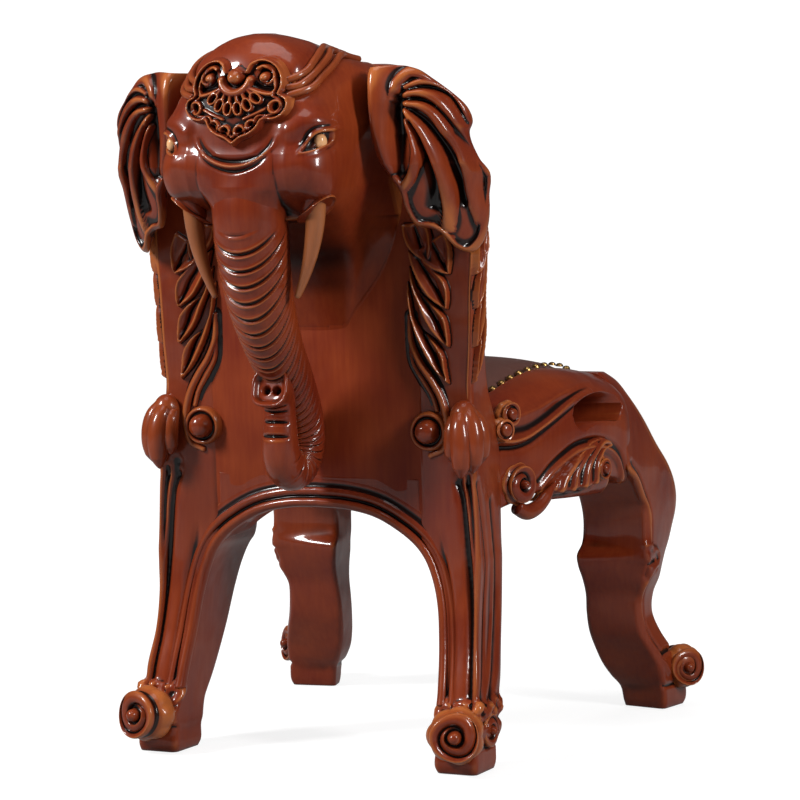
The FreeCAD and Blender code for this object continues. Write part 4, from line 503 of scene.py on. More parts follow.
TOE_CUTS = [
    ([(160, 57), (185, 60), (212, 57)], 2.6, -3.5),
    ([(160, 24.5), (216, 24.5)], 2.2, -2.2),
    ([(172, 210), (170, 160), (168, 110), (172, 64)], 5, [0, -3, -3.4, -3]),
    ([(182, 230), (188, 160), (184, 110), (192, 64)], 6, [0, 2, 2, 1]),
]
leg = carve(leg, LEG_CUTS, *SIDE)
leg = carve(leg, TOE_CUTS, *FRONT)
# The toe rolls about a level axis across the foot's corner, so its two ends look opposite ways along it.
TOE = (219, -268, 41)
outer_scroll = placed(volute(19, 12, -20, hand=-1), TOE, (0.7, 0.7, 0.04))
toe_scroll = placed(volute(19, 22, -10), TOE, (-0.7, -0.7, 0.04))
pair("front_leg", [leg, toe_scroll, outer_scroll])

# %% [markdown]
# ## Arch rail, crest rail and their mouldings
# A double bead runs up the inner edge of one rear leg, over the arch and down the other, worked with a
# scratch stock along the edge. The profile is carried along that edge, square to it, on the rear face.

# %% Arch, crest and bead
ARCH = np.array([(0, -29), (30, -30.6), (58, -37), (83, -50.5), (94, -59), (100, -65)])


def arch_edge(x):
    """Level of the arch's lower edge over the seam, at x."""
    return through(ARCH[:, 0], ARCH[:, 1], np.abs(x))


def crosswise(corners, radius, stations):
    """Rounded rings square to X at stations across, from corners in v and w."""
    return leaned(at_levels(box_ring(corners, radius, 22), stations)[..., [2, 0, 1]])


ARCH_DEEP, CREST_DEEP, CREST_FOOT = 58.0, 42.0, 331.0
across = np.linspace(-100, 100, 121)
arch = crosswise(level_rows(-ARCH_DEEP, 0.0, arch_edge(across), 0.0 * across), 2.5, across)
skin("arch_rail", [arch], "mahogany", ["arch_rail"])

across = np.linspace(-121, 121, 81)
crest_top = 370 - 26 * ramp(np.abs(across), 60, 121) ** 2
crest = crosswise(level_rows(-CREST_DEEP, 0.0, CREST_FOOT, crest_top), 6.0, across)
skin("crest_rail", [crest], "mahogany", ["crest_rail"])

# The panel swells by 1 mm between its borders; its face is let into the posts, its body fits between them.
PANEL_HALF, PANEL_TOP, PANEL_THICK, BODY_HALF = 107, 336, 21.9, 99.5
across = np.linspace(-PANEL_HALF, PANEL_HALF, 90)
low = arch_edge(np.clip(across, -100, 100)) + 20
share = np.linspace(0, 1, 80)[:, None]
level = low + share * (PANEL_TOP - low)
border = ramp(np.abs(across), PANEL_HALF, PANEL_HALF - 30) * np.clip((level - low) / 24, 0, 1)
border = border * ramp(level, PANEL_TOP, PANEL_TOP - 5)
front = coords(across, border - 0.6, level)
inset = np.clip(across, -BODY_HALF, BODY_HALF)
rear = coords(inset, -PANEL_THICK, np.maximum(level, 3))
skin("back_panel", [leaned(slab(front, rear[:, ::4]))], "mahogany", ["back_panel"], plain=True)

leg_z = np.linspace(60, 190, 30)
arch_x = np.linspace(99, 0, 24)
half_edge = np.vstack([coords(post_face(leg_z, 1), leg_z), coords(arch_x, SEAM_Z + arch_edge(arch_x))])
edge = along(np.vstack([half_edge, half_edge[-2::-1] * (-1, 1)]), 300)
go = np.gradient(edge, axis=0)
inward = coords(-go[:, 1], go[:, 0]) / np.linalg.norm(go, axis=1, keepdims=True)
inward = inward * np.sign((inward * (edge - (0, 100))).sum())
BEAD = np.array([(-0.8, -4), (-0.6, 0.2), (0.6, 3.2), (2.6, 5), (5, 5.3), (7.2, 3.8), (8.4, 1.0),
                 (9.2, 0.25), (10.2, 0.8), (11.6, 2.9), (14, 3.9), (16.6, 2.9), (18.6, 0.9), (20.4, 0.3),
                 (24, 0.15), (27, -0.5), (27.4, -4)])
profile = np.vstack([along(BEAD, 60), coords(np.linspace(26.6, -0.4, 40), -4.4)])
spot = edge[:, None] + profile[None, :, :1] * inward[:, None]
level = spot[..., 1]
moulding = coords(spot[..., 0], post_face(np.clip(level, 0, 591), 4) + profile[:, 1], level)
# Glaze lies in the two quirks beside the beads.
quirks = bell(profile[:, 0], 9.2, 1.6) + 0.8 * bell(profile[:, 0], 20, 2.4)
skin("arch_moulding", [moulding], "mahogany", stain_and_shade=0.7 * quirks + np.zeros((len(edge), 1)))

# %% [markdown]
# ## Side rails
# Each side rail runs from the post to the front leg and swells outward, with a sloped shoulder beside the
# seat and a hand-hold sawn through. Two mouldings rise along it and die out over the hand-hold.

# %% Side rails
RAIL = np.array([
    # y, inner x, outer x, top z, bottom z
    (74, 108, 143, 318, 222), (54, 111, 152, 325, 228), (22, 117, 166, 336, 236),
    (-10, 122.5, 178, 345.5, 243.5), (-40, 128, 188, 351, 247), (-90, 135, 197, 351, 246),
    (-120, 138, 200, 348, 242), (-136, 139, 201.5, 346, 239), (-148, 139, 200, 343, 236),
    (-158, 139, 195, 338, 236), (-166, 139, 186, 333, 239)])
SECTION = np.array([
    # from the inner face and under the top, for a rail 60 mm thick and 104 mm high
    (0, 4), (10, 4), (10.3, 0), (20, 1), (33, 5), (44, 12), (53, 22), (58, 36), (60, 52), (60, 70),
    (59, 90), (56, 101), (51, 104), (0, 104)])
SECTION_WIDE, SECTION_HIGH = 60, 104
rows_y = np.linspace(RAIL[0, 0], RAIL[-1, 0], 180)
inner, outer, top, bottom = (through(-RAIL[:, 0], RAIL[:, k], -rows_y) for k in (1, 2, 3, 4))
curve = np.vstack([along(SECTION[:2], 9)[:-1], along(SECTION[2:13], 110), along(SECTION[12:], 40)[1:],
                   along(SECTION[[13, 0]], 70)[1:-1]])
rail = coords(
    inner[:, None] + (outer - inner)[:, None] * curve[:, 0] / SECTION_WIDE,
    rows_y[:, None],
    top[:, None] - (top - bottom)[:, None] * curve[:, 1] / SECTION_HIGH)
RAIL_CUTS = [
    ([(58, 304), (29, 313), (9, 318.5), (-16, 327), (-44, 334), (-67, 337.5), (-97, 339)], [3, 3, 2],
     [2.6, 2.4, 0]),
    ([(66, 289), (52, 288), (39, 290), (21, 297), (-6, 310), (-29, 321), (-46, 327), (-72, 331)],
     [3.4, 3.2, 2], [4, 3.4, 0.6]),
    ([(66, 283), (48, 283), (32, 286.5), (14, 295), (-10, 307), (-34, 318.5)], [3, 3, 1.6], [-3.4, -3.4, -1]),
    ([(52, 298), (30, 301), (6, 310), (-24, 324), (-50, 331), (-80, 335)], [5, 5, 3], [-2.8, -2.8, 0]),
    ([(18, 250), (3, 263), (-14, 273), (-32, 281), (-62, 284), (-92, 280), (-118, 269), (-136, 250),
      (-146, 239)], [3, 3.4, 3], [-2, -4, -3.4]),
    ([(14, 244), (0, 258), (-16, 268), (-34, 275.5), (-62, 278), (-90, 274), (-112, 263), (-129, 245),
      (-138, 236)], [3.4, 3.8, 3.4], [3, 4, 3.2]),
]
rail = carve(rail, RAIL_CUTS, *SIDE)
HOLD = np.array([
    # y and z on the outer face, then on the inner face
    (-26, 309, -35, 309), (-33, 318, -38, 317), (-48, 324.5, -50, 321.5), (-68, 328.5, -68, 324),
    (-90, 329.5, -88, 325), (-110, 327, -104, 324), (-124, 322, -115, 320), (-129.5, 314.5, -121, 312),
    (-126, 306, -120, 303), (-117, 300.5, -113, 298.5), (-104, 300, -102, 298), (-88, 301, -88, 299),
    (-70, 300, -71, 298.5), (-56, 296.5, -58, 296), (-44, 293.5, -47, 294), (-32, 298, -38, 299),
    (-26, 309, -35, 309)])
print("rail", rail.shape)

# %% [markdown]
# The hand-hold is sawn out: a cutter with its outline, a little wider outside, goes through the rail and is
# taken away. The sawn edge of the real one is only eased with paper, so it stays crisp here.

# %% Hand-holds
outer_line, inner_line = along(HOLD[:, :2], 90)[:-1], along(HOLD[:, 2:], 90)[:-1]


def cut_hold(piece, side):
    """Saw the hand-hold's outline through a rail with a Boolean, then remove the cutter."""
    stations = ((60, inner_line), (139, inner_line), (197, outer_line), (260, outer_line))
    rings = [np.insert(line, 0, x * side, axis=1) for x, line in stations]
    cutter = skin("cutter", [np.stack(rings)], "mahogany")
    pieces.pop()
    saw = piece.modifiers.new("hand_hold", "BOOLEAN")
    saw.object, saw.operation, saw.solver = cutter, "DIFFERENCE", "EXACT"
    bpy.context.view_layer.objects.active = piece
    bpy.ops.object.modifier_apply(modifier=saw.name)
    bpy.data.objects.remove(cutter)


for word, side in SIDES:
    piece = skin("side_rail_" + word, [rail * (side, 1, 1)], "mahogany", ["side_rail_" + word])
    cut_hold(piece, side)
    print(piece.name, len(piece.data.polygons), "faces with its hand-hold")

# %% [markdown]
# ## Scrolls on the side rails
# Under each rail a C-scroll starts in a large volute, runs along the lower edge as a stem and ends in a
# ribbed shell with a small volute. At the rear end two small volutes tuck against the post.

# %% Rail scrolls
EASE = 0.8  # mm over which the edge of a raised plate falls


def inside(a, w, corners):
    """Where places lie inside a closed outline: an odd count of its sides to the right."""
    odd = np.zeros(a.shape, bool)
    for (x0, w0), (x1, w1) in zip(corners, np.roll(corners, -1, 0)):
        crosses = (w0 > w) != (w1 > w)
        at = x0 + (w - w0) / (w1 - w0 if w1 != w0 else 1e-9) * (x1 - x0)
        odd ^= crosses & (a < at)
    return odd


def rail_out(y):
    """The rail's outer face at y, in x."""
    return through(-RAIL[:, 0], RAIL[:, 2], -np.asarray(y, float))


big = volute(17.5, 7, -8, hand=-1, turns=1.25, eye=0.24)
big = placed(big, (rail_out(45) + 1.5, 45, 248.5), (0.93, 0.36, 0))
small = volute(10, 4, -6, turns=1.1, eye=0.5)
small = placed(small, (rail_out(-76) + 2.5, -76, 256), (0.98, 0.2, 0))
stem_path = along([(46, 227), (34, 222), (20, 226), (8, 236), (-3, 247)], 60)
stem_size = np.interp(np.linspace(0, 1, 60), [0, 0.25, 0.7, 1], [6.5, 7.5, 6, 1.2])
stem = tube(coords(rail_out(stem_path[:, 0]) - 0.5, *stem_path.T), stem_size)
# The shell: a plate that hangs a little under the rail, with five ribs that sweep up and over.
SHELL = [(0, 240), (-10, 236), (-20, 238), (-26, 236), (-38, 240), (-44, 237), (-58, 241), (-66, 243),
         (-66, 262), (-78, 273), (-98, 277), (-84, 285), (-50, 281), (-22, 263), (-6, 248), (0, 240)]
RIBS = [
    ([(-8, 238), (-13, 248), (-26, 261.5), (-48, 276)], [3.4, 3, 2], [4.5, 4, 2], "bead"),
    ([(-23.5, 239), (-28, 254), (-43, 269), (-65, 280)], [3.6, 3.2, 2], [5, 4.4, 2], "bead"),
    ([(-41, 241), (-46, 258), (-57, 271), (-76, 280.5), (-94, 280)], [3.6, 3.4, 2], [5, 5, 2], "bead"),
    ([(-62, 243), (-64, 260), (-76, 272), (-96, 277)], [3.4, 3.4, 2], [4, 5, 2], "bead"),
    ([(4, 246), (-10, 258), (-30, 270), (-52, 281)], [2.6, 3, 2], [3, 3.6, 1], "bead"),
]
y, z = np.meshgrid(np.linspace(8, -104, 130), np.linspace(230, 292, 80))
step = y[0, 0] - y[0, 1]
plate = softened(inside(y, z, along(SHELL, 80)), EASE / step, EASE / step)
height = plate * (3.4 + relief(coords(y, z), RIBS)) - 3.0 * (1 - plate)
ground = rail_out(y) - 2 - 8 * ramp(z, 244, 230) ** 2
shell = slab(coords(ground + height, y, z), coords(ground - 8, y, z)[:, ::6])
pair("rail_scroll", [big, small, stem, shell])
upper = volute(11, 6, -10, hand=-1, turns=1.1, eye=0.5)
upper = placed(upper, (rail_out(57) + 1, 58, 314), (0.9, 0.42, 0))
lower = volute(10, 7, -10, turns=1.0, eye=0.6)
lower = placed(lower, (rail_out(66) + 3, 69, 300), (0.86, 0.5, 0))
pair("rail_volute", [upper, lower])

# %% [markdown]
# ## Leaves, knobs and drops on the posts
# Acanthus leaves hang down the rear face and the side of each post. Each blade is a raised plate with a rim
# on both edges that meets in a tip, and a hollow between. A stem runs down from them round a knob.

# %% Leaves
SUNK, BESIDE = 1.2, 1.7  # the ground's depth under the wood's face, and its rise beside blades and stems
BLADES = [
    # lower edge from root to tip, upper edge from tip to root: x and level on the left post's rear face
    ([(92, 228), (95, 214), (102, 203), (110, 197), (118, 194)],
     [(118, 194), (121, 206), (120, 218), (116, 230)]),
    ([(107, 205), (113, 194), (122, 187.5), (130, 184.5), (137, 183)],
     [(137, 183), (139, 194), (139, 207), (134, 222)]),
    ([(97, 206), (102, 188), (111, 171), (119, 161), (127, 155.5), (134, 152)],
     [(134, 152), (136, 165), (133, 177), (124, 187), (112, 198)]),
    ([(97, 192), (101, 171), (108, 154), (116, 137), (125, 126), (135, 118)],
     [(135, 118), (135, 132), (132, 145), (123, 155), (112, 163), (105, 172)]),
    ([(95, 180), (97, 155), (102, 134), (111, 114), (121, 98), (134, 85)],
     [(134, 85), (132, 98), (130, 111), (122, 123), (110, 133), (102, 145)]),
]
STEM_LINES = [
    ([(97, 146), (98, 124), (105, 106), (116, 90), (125, 74), (130, 57), (130.5, 41), (126, 27), (114, 21)],
     [2.4, 4, 4, 3.2], [4, 7, 6.5, 4.5], "bead"),
    ([(97, 124), (99, 106), (108, 90), (117, 75), (121, 62)], [2, 3, 2.4], [3, 5, 3.5], "bead"),
]


def leaf_field(a, w, stems):
    """Height of the leaves over their ground: for each blade a plate, rims along its edges and a vein's
    hollow, the highest kept, with stems beside them. The ground sinks under the wood's face."""
    places = coords(a, w)
    step = w[1, 0] - w[0, 0]
    total = np.full(a.shape, -SUNK)
    for low, up in BLADES:
        outline = np.vstack([along(low, 30), along(up, 30)])
        plate = softened(inside(a, w, outline), EASE / step, EASE / (a[0, 1] - a[0, 0]))
        middle = (along(low, 12) + along(up, 12)[::-1]) / 2
        rims = relief(places, [
            (low, [2, 4.2, 3.2], [2.4, 4.6, 3.4]),
            (up, [3.2, 3.6, 2], [3.4, 3.6, 2]),
            (middle[1:-1], [1.6, 2.4, 1.6], [-3, -7, -3])])
        near = relief(places, [(outline, 5.0, 1.0)])
        ground = BESIDE * np.clip(near * 2.5, 0, 1) - SUNK
        total = np.maximum(total, plate * (5.6 + rims) + (1 - plate) * ground)
    near = relief(places, [(line, 5.5, 1.0) for line, *rest in stems])
    return np.maximum(total, relief(places, stems) + np.clip(near * 2.4, 0, 1) * BESIDE - SUNK)


def ground_glaze_and_shade(height, columns):
    """Black glaze and painted shade on the ground beside blades and stems: none on them, nor on the back's
    columns.
    """
    stain_and_shade = ramp(height, -SUNK, BESIDE - SUNK) * ramp(height, 2.4, 1.2)
    return np.concatenate([stain_and_shade, np.zeros((len(height), columns))], 1)


a, w = np.meshgrid(np.linspace(88, 144, 120), np.linspace(16, 240, 280))
height = leaf_field(a, w, STEM_LINES)
front = coords(a, height, w)
back = coords(a, -3, w)[:, ::7]
# The ground beside blades and stems is darkened with glaze and painted shade.
pair("post_leaf", [leaned(slab(front, back))], stain_and_shade=ground_glaze_and_shade(height, back.shape[1]))

a, w = np.meshgrid(np.linspace(88, 142, 84), np.linspace(72, 240, 150))
height = leaf_field(a, w, [])
flat = leaned(coords(0, -22 + (a - 88) * 0.42, w))
side_x = post_side(flat[..., 2])
# The blades thin out toward the corner, where the rear face's leaves take over.
thin = np.where(height > 0, 1 - 0.25 * ramp(a, 112, 140), 1)
front = coords(side_x + height * thin, flat[..., 1], flat[..., 2])
back = front[:, ::7] * (0, 1, 1) + (side_x[:, ::7, None] - 4) * (1, 0, 0)
# The ground beside blades and stems is darkened with glaze and painted shade.
pair("side_leaf", [slab(front, back)], stain_and_shade=ground_glaze_and_shade(height, back.shape[1]))

# %% [markdown]
# Each stem ends round a knob, which is turned on a lathe with a ring about it. Under the side leaf a bunch of
# hanging lobes sits on the post's corner, where the seat rail comes in.

# %% Knobs and corner drops
KNOB = along([(0.1, 18.6), (4, 18.2), (8, 15.8), (10.2, 11.5), (10.8, 7), (11.4, 4.2), (12.6, 4.4),
              (14, 7), (15.6, 7.6), (17.2, 5.6), (18, 2), (18.2, -3)], 60)
KNOB_X, KNOB_W = 113, 43
turn = circle(72)
knob = coords(KNOB_X + KNOB[:, :1] * np.cos(turn), KNOB[:, 1:], KNOB_W + KNOB[:, :1] * np.sin(turn))
pair("knob", [leaned(knob)])

# The drop: a ball with four lobes hung from it, round tubes that swell and close to blunt ends.
LOBES = [
    # x, out and level along a lobe, then its radii
    ([(149, 6, 66), (158, 13, 52), (161, 16, 30), (158, 14, 8)], [6, 8.8, 8.8, 6]),
    ([(145, 8, 64), (149, 18, 50), (151, 22, 28), (150, 21, 4)], [6, 9.4, 9.4, 6]),
    ([(140, 6, 60), (141, 14, 48), (141, 17, 32), (140, 16, 17)], [5, 8, 8, 5.5]),
    ([(151, 0, 64), (159, 2, 52), (163, 3, 34), (161, 2, 15)], [5, 8, 8, 5.5]),
]
way = np.linspace(0, 1, 60)
blunt = np.sqrt(np.clip((1.003 - way) / 0.16, 0.02, 1) * np.clip((way + 0.003) / 0.12, 0.02, 1))
drop = []
for line, size in LOBES:
    swelled = through(np.linspace(0, 1, 4), size, way) * blunt
    drop.append(tube(along(line, 60), swelled, (0, 1, 0), 32))
polar = np.linspace(0.05, np.pi - 0.05, 24)[:, None]
turn = circle(40)
ball = coords(np.sin(polar) * np.cos(turn), np.sin(polar) * np.sin(turn), np.cos(polar))
drop.append(ball * (13, 12, 17) + (148.5, 7, 55))
pair("corner_drop", [leaned(grid) for grid in drop])

# %% [markdown]
# ## The elephant's head
# This is the most skilled carving on the stool. The head is a block of level cuts, flat on the panel, that
# swells at the temples and domes over. Lids, brows, cheeks, wrinkles and the straps of the plaque are cut
# into it. Its cuts are given as shares of 84 mm half width and 146 mm reach.

# %% Head
HEAD_HALF, HEAD_REACH, HEAD_COLUMNS = 84, 146, 260
HEAD = np.array([
    # level, half width at panel, at temple, at brow (shares), reach (share)
    (118, 0.86, 0.44, 0.34, -0.02), (150, 0.93, 0.54, 0.43, 0.035), (180, 0.98, 0.65, 0.52, 0.11),
    (205, 1.02, 0.75, 0.61, 0.25), (225, 1.06, 0.83, 0.69, 0.47), (240, 1.08, 0.89, 0.76, 0.68),
    (254, 1.10, 0.94, 0.83, 0.86), (266, 1.11, 0.98, 0.88, 0.95), (281, 1.12, 1.01, 0.90, 1.00),
    (305, 1.14, 1.02, 0.88, 0.99), (336, 1.14, 1.00, 0.79, 0.96), (358, 1.02, 0.94, 0.68, 0.92),
    (371, 0.78, 0.84, 0.60, 0.885), (377, 0.58, 0.75, 0.545, 0.865), (383, 0.42, 0.62, 0.47, 0.838),
    (391, 0.24, 0.41, 0.33, 0.785), (396, 0.10, 0.22, 0.19, 0.72), (398.5, 0.03, 0.07, 0.06, 0.64)])
# The dome's rear edge leaves the panel near the top.
DOME = np.array([(225, -4), (242, 0), (360, 0), (371, 2), (377, 6), (383, 14), (391, 32), (396, 50),
                 (398.5, 64)])


def head_cut(level):
    """Level cuts through the head: a smooth line through panel, temple, brow and forehead on both sides."""
    p = through(HEAD[:, 0], HEAD[:, 1:], level)
    wide, out = HEAD_HALF * p[:, :3], HEAD_REACH * p[:, 3:4]
    x = np.concatenate([wide, 0.55 * wide[:, 2:], 0 * out, -0.55 * wide[:, 2:], -wide[:, ::-1]], 1)
    back = np.interp(level, DOME[:, 0], DOME[:, 1])[:, None]
    v = back + (out - back) * np.array([0, 0.45, 0.86, 0.965, 1.0, 0.965, 0.86, 0.45, 0])
    step = np.array([0, 0.9, 1.65, 2.25, 2.85, 3.45, 4.05, 4.8, 5.7])
    even = np.linspace(0, step[-1], HEAD_COLUMNS)
    return coords(through(step, x.T, even).T, through(step, v.T, even).T)


# Rows lie closer together where the face and the dome are.
levels = np.concatenate([
    np.linspace(120, 240, 64), np.linspace(240.9, 380, 150), np.linspace(380.7, 398.4, 30)])
face = at_levels(head_cut(levels), levels)
# The trunk's root swells out of the face: the head takes the smooth greater of its own front and the trunk's.
ROOT = np.array([
    # level, middle's distance out, radius
    (225, 117, 31.5), (240, 119, 33), (254, 118.5, 34.5), (268, 114.5, 36), (284, 107, 36), (300, 96, 34),
    (330, 74, 30)])
stand, wide = through(ROOT[:, 0], ROOT[:, 1:], np.clip(levels, ROOT[0, 0], ROOT[-1, 0])).T[..., None]
sideways = np.abs(face[..., 0])
bulge = stand + np.sqrt(np.clip(wide ** 2 - sideways ** 2, 0, None)) - 2 * np.clip(sideways - wide, 0, None)
fade = 0.2 * np.clip(268 - levels, 0, 28) + 400 * ramp(levels, 238, 218) + 4 * np.clip(levels - 296, 0, None)
bulge = bulge - fade[:, None]
# The join is wider beside the root, where it runs out into the cheeks.
soft = 9 + 20 * np.clip(sideways / 36, 0, 1.3) ** 2 * ramp(levels, 240, 265)[:, None]
both = np.hypot(face[..., 1] - bulge, soft)
face[..., 1] = np.where(face[..., 1] > 1, 0.5 * (face[..., 1] + bulge + both) - 0.6, face[..., 1])
rear = np.linspace(face[:, -1], face[:, 0], 14, axis=1)[:, 1:-1]
head = np.concatenate([face, rear], 1)

# Forms first: brow, socket and cheek. Then lines: lids, the eye's rim, the fold over it and three wrinkles.
FACE_FORMS = mirrored([
    ([(50, 316), (60, 322), (72, 321), (80, 314)], 9, 4.5),
    ([(67, 303), (73, 306)], 8, -4.4),
    ([(62, 288), (67, 278), (67, 266)], 13, 4),
])
FACE_LINES = mirrored([
    ([(59.5, 296), (62, 304), (66.5, 311), (72, 314.5), (79.5, 315)], 1.8, [1.4, 3.6, 3]),
    ([(59.5, 296), (66, 296.5), (72, 299), (77, 305), (79.5, 315)], 1.7, [1.4, 3, 2]),
    ([(61.5, 298.3), (64, 304), (68, 309.2), (72.5, 311.6), (77, 312)], 1.5, [-2, -4, -2.4]),
    ([(61.5, 298.3), (66.5, 299), (71.5, 301.4), (75.5, 306), (77, 312)], 1.5, [-2, -4, -2.4]),
    ([(57.5, 296), (60.5, 306), (65, 313.5), (71, 317.5), (78, 319)], 1.6, [0, -2.6, -1.2]),
]) + [
    ([(36, 311), (30, 301), (18, 293.5), (0, 290.5), (-18, 293.5), (-30, 301), (-36, 311)], 2.2,
     [0, -3.4, -3.8, -3.4, 0]),
    ([(39, 311), (31, 298), (18, 289), (0, 285.6), (-18, 289), (-31, 298), (-39, 311)], 2.2,
     [0.4, 2.6, 3, 2.6, 0.4]),
    ([(37, 303), (28, 293), (16, 285.5), (0, 281.8), (-16, 285.5), (-28, 293), (-37, 303)], 1.7,
     [0, -2.6, -3, -2.6, 0]),
]
# Three straps run from the plaque over the dome: x, out and level.
STRAPS = [
    [(44, 131, 344), (54, 126, 347), (61, 117, 351), (64, 102, 359), (65, 83, 368), (61, 61, 376),
     (58, 42, 376), (56, 24, 374), (55, 8, 371)],
    [(42, 129, 351), (52, 124, 353), (58, 114, 359), (60, 98, 367), (58, 77, 376), (53, 58, 382),
     (49, 42, 382), (46, 26, 380), (44, 12, 376)],
    [(40, 128, 357), (49, 122, 360), (54, 113, 365), (55, 96, 373), (51, 75, 382), (46, 58, 386),
     (41, 42, 386), (37, 28, 384), (34, 16, 381)],
]
head = carve(head, FACE_FORMS, *REAR)
head = carve(head, FACE_LINES, *REAR)


def onto(grid, line):
    """A smooth line through points, each first moved to the nearest point of a grid."""
    flat = grid.reshape(-1, 3)
    return along(flat[((flat[:, None] - np.array(line)) ** 2).sum(-1).argmin(0)], 60)


# The ground sinks between the straps, where the glaze gathers.
strap_lines = [onto(head, line) for line in STRAPS]
both_sides = strap_lines + [line * (-1, 1, 1) for line in strap_lines]
head = carve(head, [(line, 6.5, -2.6) for line in both_sides])
straps = [tube(line, 3.1, (0, 0, 1), 24) for line in strap_lines]

# The tusk's sheath: a sleeve that grows out of the cheek, cut off on a slant and rolled at its lip.
SLEEVE = np.array([
    # x, out, level, radius
    (64, 98, 294, 8), (64, 108, 276, 12.5), (62, 113, 260, 14), (59, 113, 244, 12.6), (57, 113, 236, 12)])
turn = circle(56)
slow = np.linspace(0, 1, 70)[:, None]
lip = np.ones((8, 1))
share = np.concatenate([slow, lip]) * (0.77 - 0.23 * np.cos(turn))
inward = np.concatenate([0 * slow, np.linspace(0.05, 0.5, len(lip))[:, None]])
roll = 2.6 * bell(slow, 1, 0.055) - 1.4 * bell(slow, 0.86, 0.05)
roll = np.concatenate([roll, 1.6 * lip])
spot = through(np.linspace(0, 1, len(SLEEVE)), SLEEVE, share)
size = (spot[..., 3] + roll) * (1 - inward)
ring = coords(size * np.cos(turn), 0.95 * size * np.sin(turn), 0.28 * size * np.sin(turn))
sleeve = spot[..., :3] + ring


def face_at(x, w):
    """How far out the uncarved head stands at x and level w, read off its level cuts."""
    cuts = head_cut(w)
    return np.stack([np.interp(x[i], cuts[i, ::-1, 0], cuts[i, ::-1, 1]) for i in range(len(w))])


# The eyeball lies in its socket and shows a lens some 11 mm wide.
stand = face_at(np.full((2, 1), 71.0), np.array([304.8, 305.2]))[0, 0]
pair("eye", [leaned(ball * (5.6, 6.4, 7.4) + (70.4, stand - 5.0, 304.8))], "eye_bead")
rolls = [grid * (side, 1, 1) for grid in straps + [sleeve] for side in (1, -1)]
skin("elephant_head", [leaned(grid) for grid in [head] + rolls], "mahogany", ["elephant_head"])

# %% [markdown]
# ## Plaque on the forehead
# A cusped plate with a beaded edge, curls in its corners, a boss and a fan of flutes. It is drawn flat as a
# height over the forehead and bent with it, as the carver leaves it standing on the block.

# %% Plaque
BOSS = np.array([0, 362])
CENTRE = np.array([0, 341])  # the inner edges are the rim, drawn in toward this
EDGE = [(0, 305), (7, 310), (15, 313), (22, 318), (27, 325.5), (35, 325.5), (43, 328), (48, 335),
        (47, 342), (40, 346.5), (42, 353), (41, 362), (35, 371), (24, 376), (13, 373), (9, 366), (0, 370)]


def curl(x, w, radius, start, turns):
    """A spiral line that winds in from a radius round a middle."""
    share = np.linspace(0, 1, 24)
    turn = start + turns * 2 * np.pi * share
    size = radius * (1 - 0.8 * share)
    return coords(x + size * np.cos(turn), w + size * np.sin(turn))


def loop(x, w, wide, high, lean=0.0):
    """An ellipse round a middle, its long axis leaned from upright by an angle."""
    turn = np.linspace(0, 2 * np.pi, 25)
    across, up = wide * np.cos(turn), high * np.sin(turn)
    sine, cosine = math.sin(lean), math.cos(lean)
    return coords(x + across * cosine + up * sine, w - across * sine + up * cosine)


rim = along(EDGE, 90)
whole = np.vstack([rim, rim[::-1] * (-1, 1)])
a, w = np.meshgrid(np.linspace(-1, 1, 240), np.linspace(298, 381, 190))
# The block narrows over the boss, so the ground of the plaque does too.
a = a * np.interp(w, [298, 345, 365, 381], [54, 52, 46, 30])
plate = softened(inside(a, w, whole), 1.4, 1.4)
PLAQUE = [
    (rim, 2.8, 6.4, "bead"),
    ((rim[:74] - CENTRE) * 0.92 + CENTRE, 1.6, -3.4),
    ((rim[:70] - CENTRE) * 0.85 + CENTRE, 1.5, 4.4, "bead"),
    (curl(27, 361.5, 10, 2.4, -1.1), 1.8, 5, "bead"),
    ([(26, 361), (26.6, 361)], 4.2, 7, "bead"),
    (loop(26, 361, 5.6, 5.6), 1.6, -3.6),
    (loop(38, 335.5, 5.6, 5.2), 1.7, 5, "bead"),
    ([(38, 335.5), (38.4, 335.5)], 3, -4),
    ([(14, 351.5), (22, 348.5), (30, 346.5), (36, 346.5)], 1.9, 4.6, "bead"),
    ([(17, 356), (24, 352.5), (34, 351)], 1.7, -3.4),
    (loop(7, 315.5, 4.6, 4.6), 1.6, 5, "bead"),
    (loop(18, 320, 4.8, 4.6, 0.5), 1.6, 5, "bead"),
    ([(7, 315.5), (7.4, 315.5)], 2.8, -4.4),
    ([(18, 320), (18.4, 320)], 2.8, -4.4),
    ([(10, 326), (20, 330), (29, 334)], 1.5, 3, "bead"),
]
# Three flutes on each side end in petals, set about the boss.
for lean in (0.17, 0.5, 0.83):
    aim = np.array([math.sin(lean), -math.cos(lean)])
    PLAQUE.append(([BOSS + 16 * aim, BOSS + 23 * aim], [1.6, 2.2], [5, 4.4], "bead"))
    PLAQUE.append((loop(*(BOSS + 27.5 * aim), 3.5, 5.2, -lean), 1.4, 5, "bead"))
    PLAQUE.append(([BOSS + 25.5 * aim, BOSS + 30 * aim], 2, -5))
PLAQUE = mirrored(PLAQUE) + [
    ([BOSS - (0.5, 0), BOSS + (0.5, 0)], 7, 10, "bead"),
    (loop(*BOSS, 8.6, 8.6), 1.7, -4),
    ([BOSS + (14 * math.cos(t), 14 * math.sin(t)) for t in np.linspace(-2.9, -0.24, 20)], 4, 6, "bead"),
]
height = 3.4 * plate + relief(coords(a, w), PLAQUE) - 1.4 * (1 - np.clip(plate * 3, 0, 1))
base = face_at(a, w[:, 0])
front = leaned(coords(a, base + height, w))
back = leaned(coords(a, base - 6, w)[:, ::10])
skin("forehead_plaque", [slab(front, back)], "mahogany", ["forehead_plaque"])

# %% [markdown]
# ## Trunk and tusks
# The trunk falls from the face, lies against the panel, turns under and curls up to a tip with two
# nostrils. Some two dozen grooves sag across its front, closer together toward the tip.

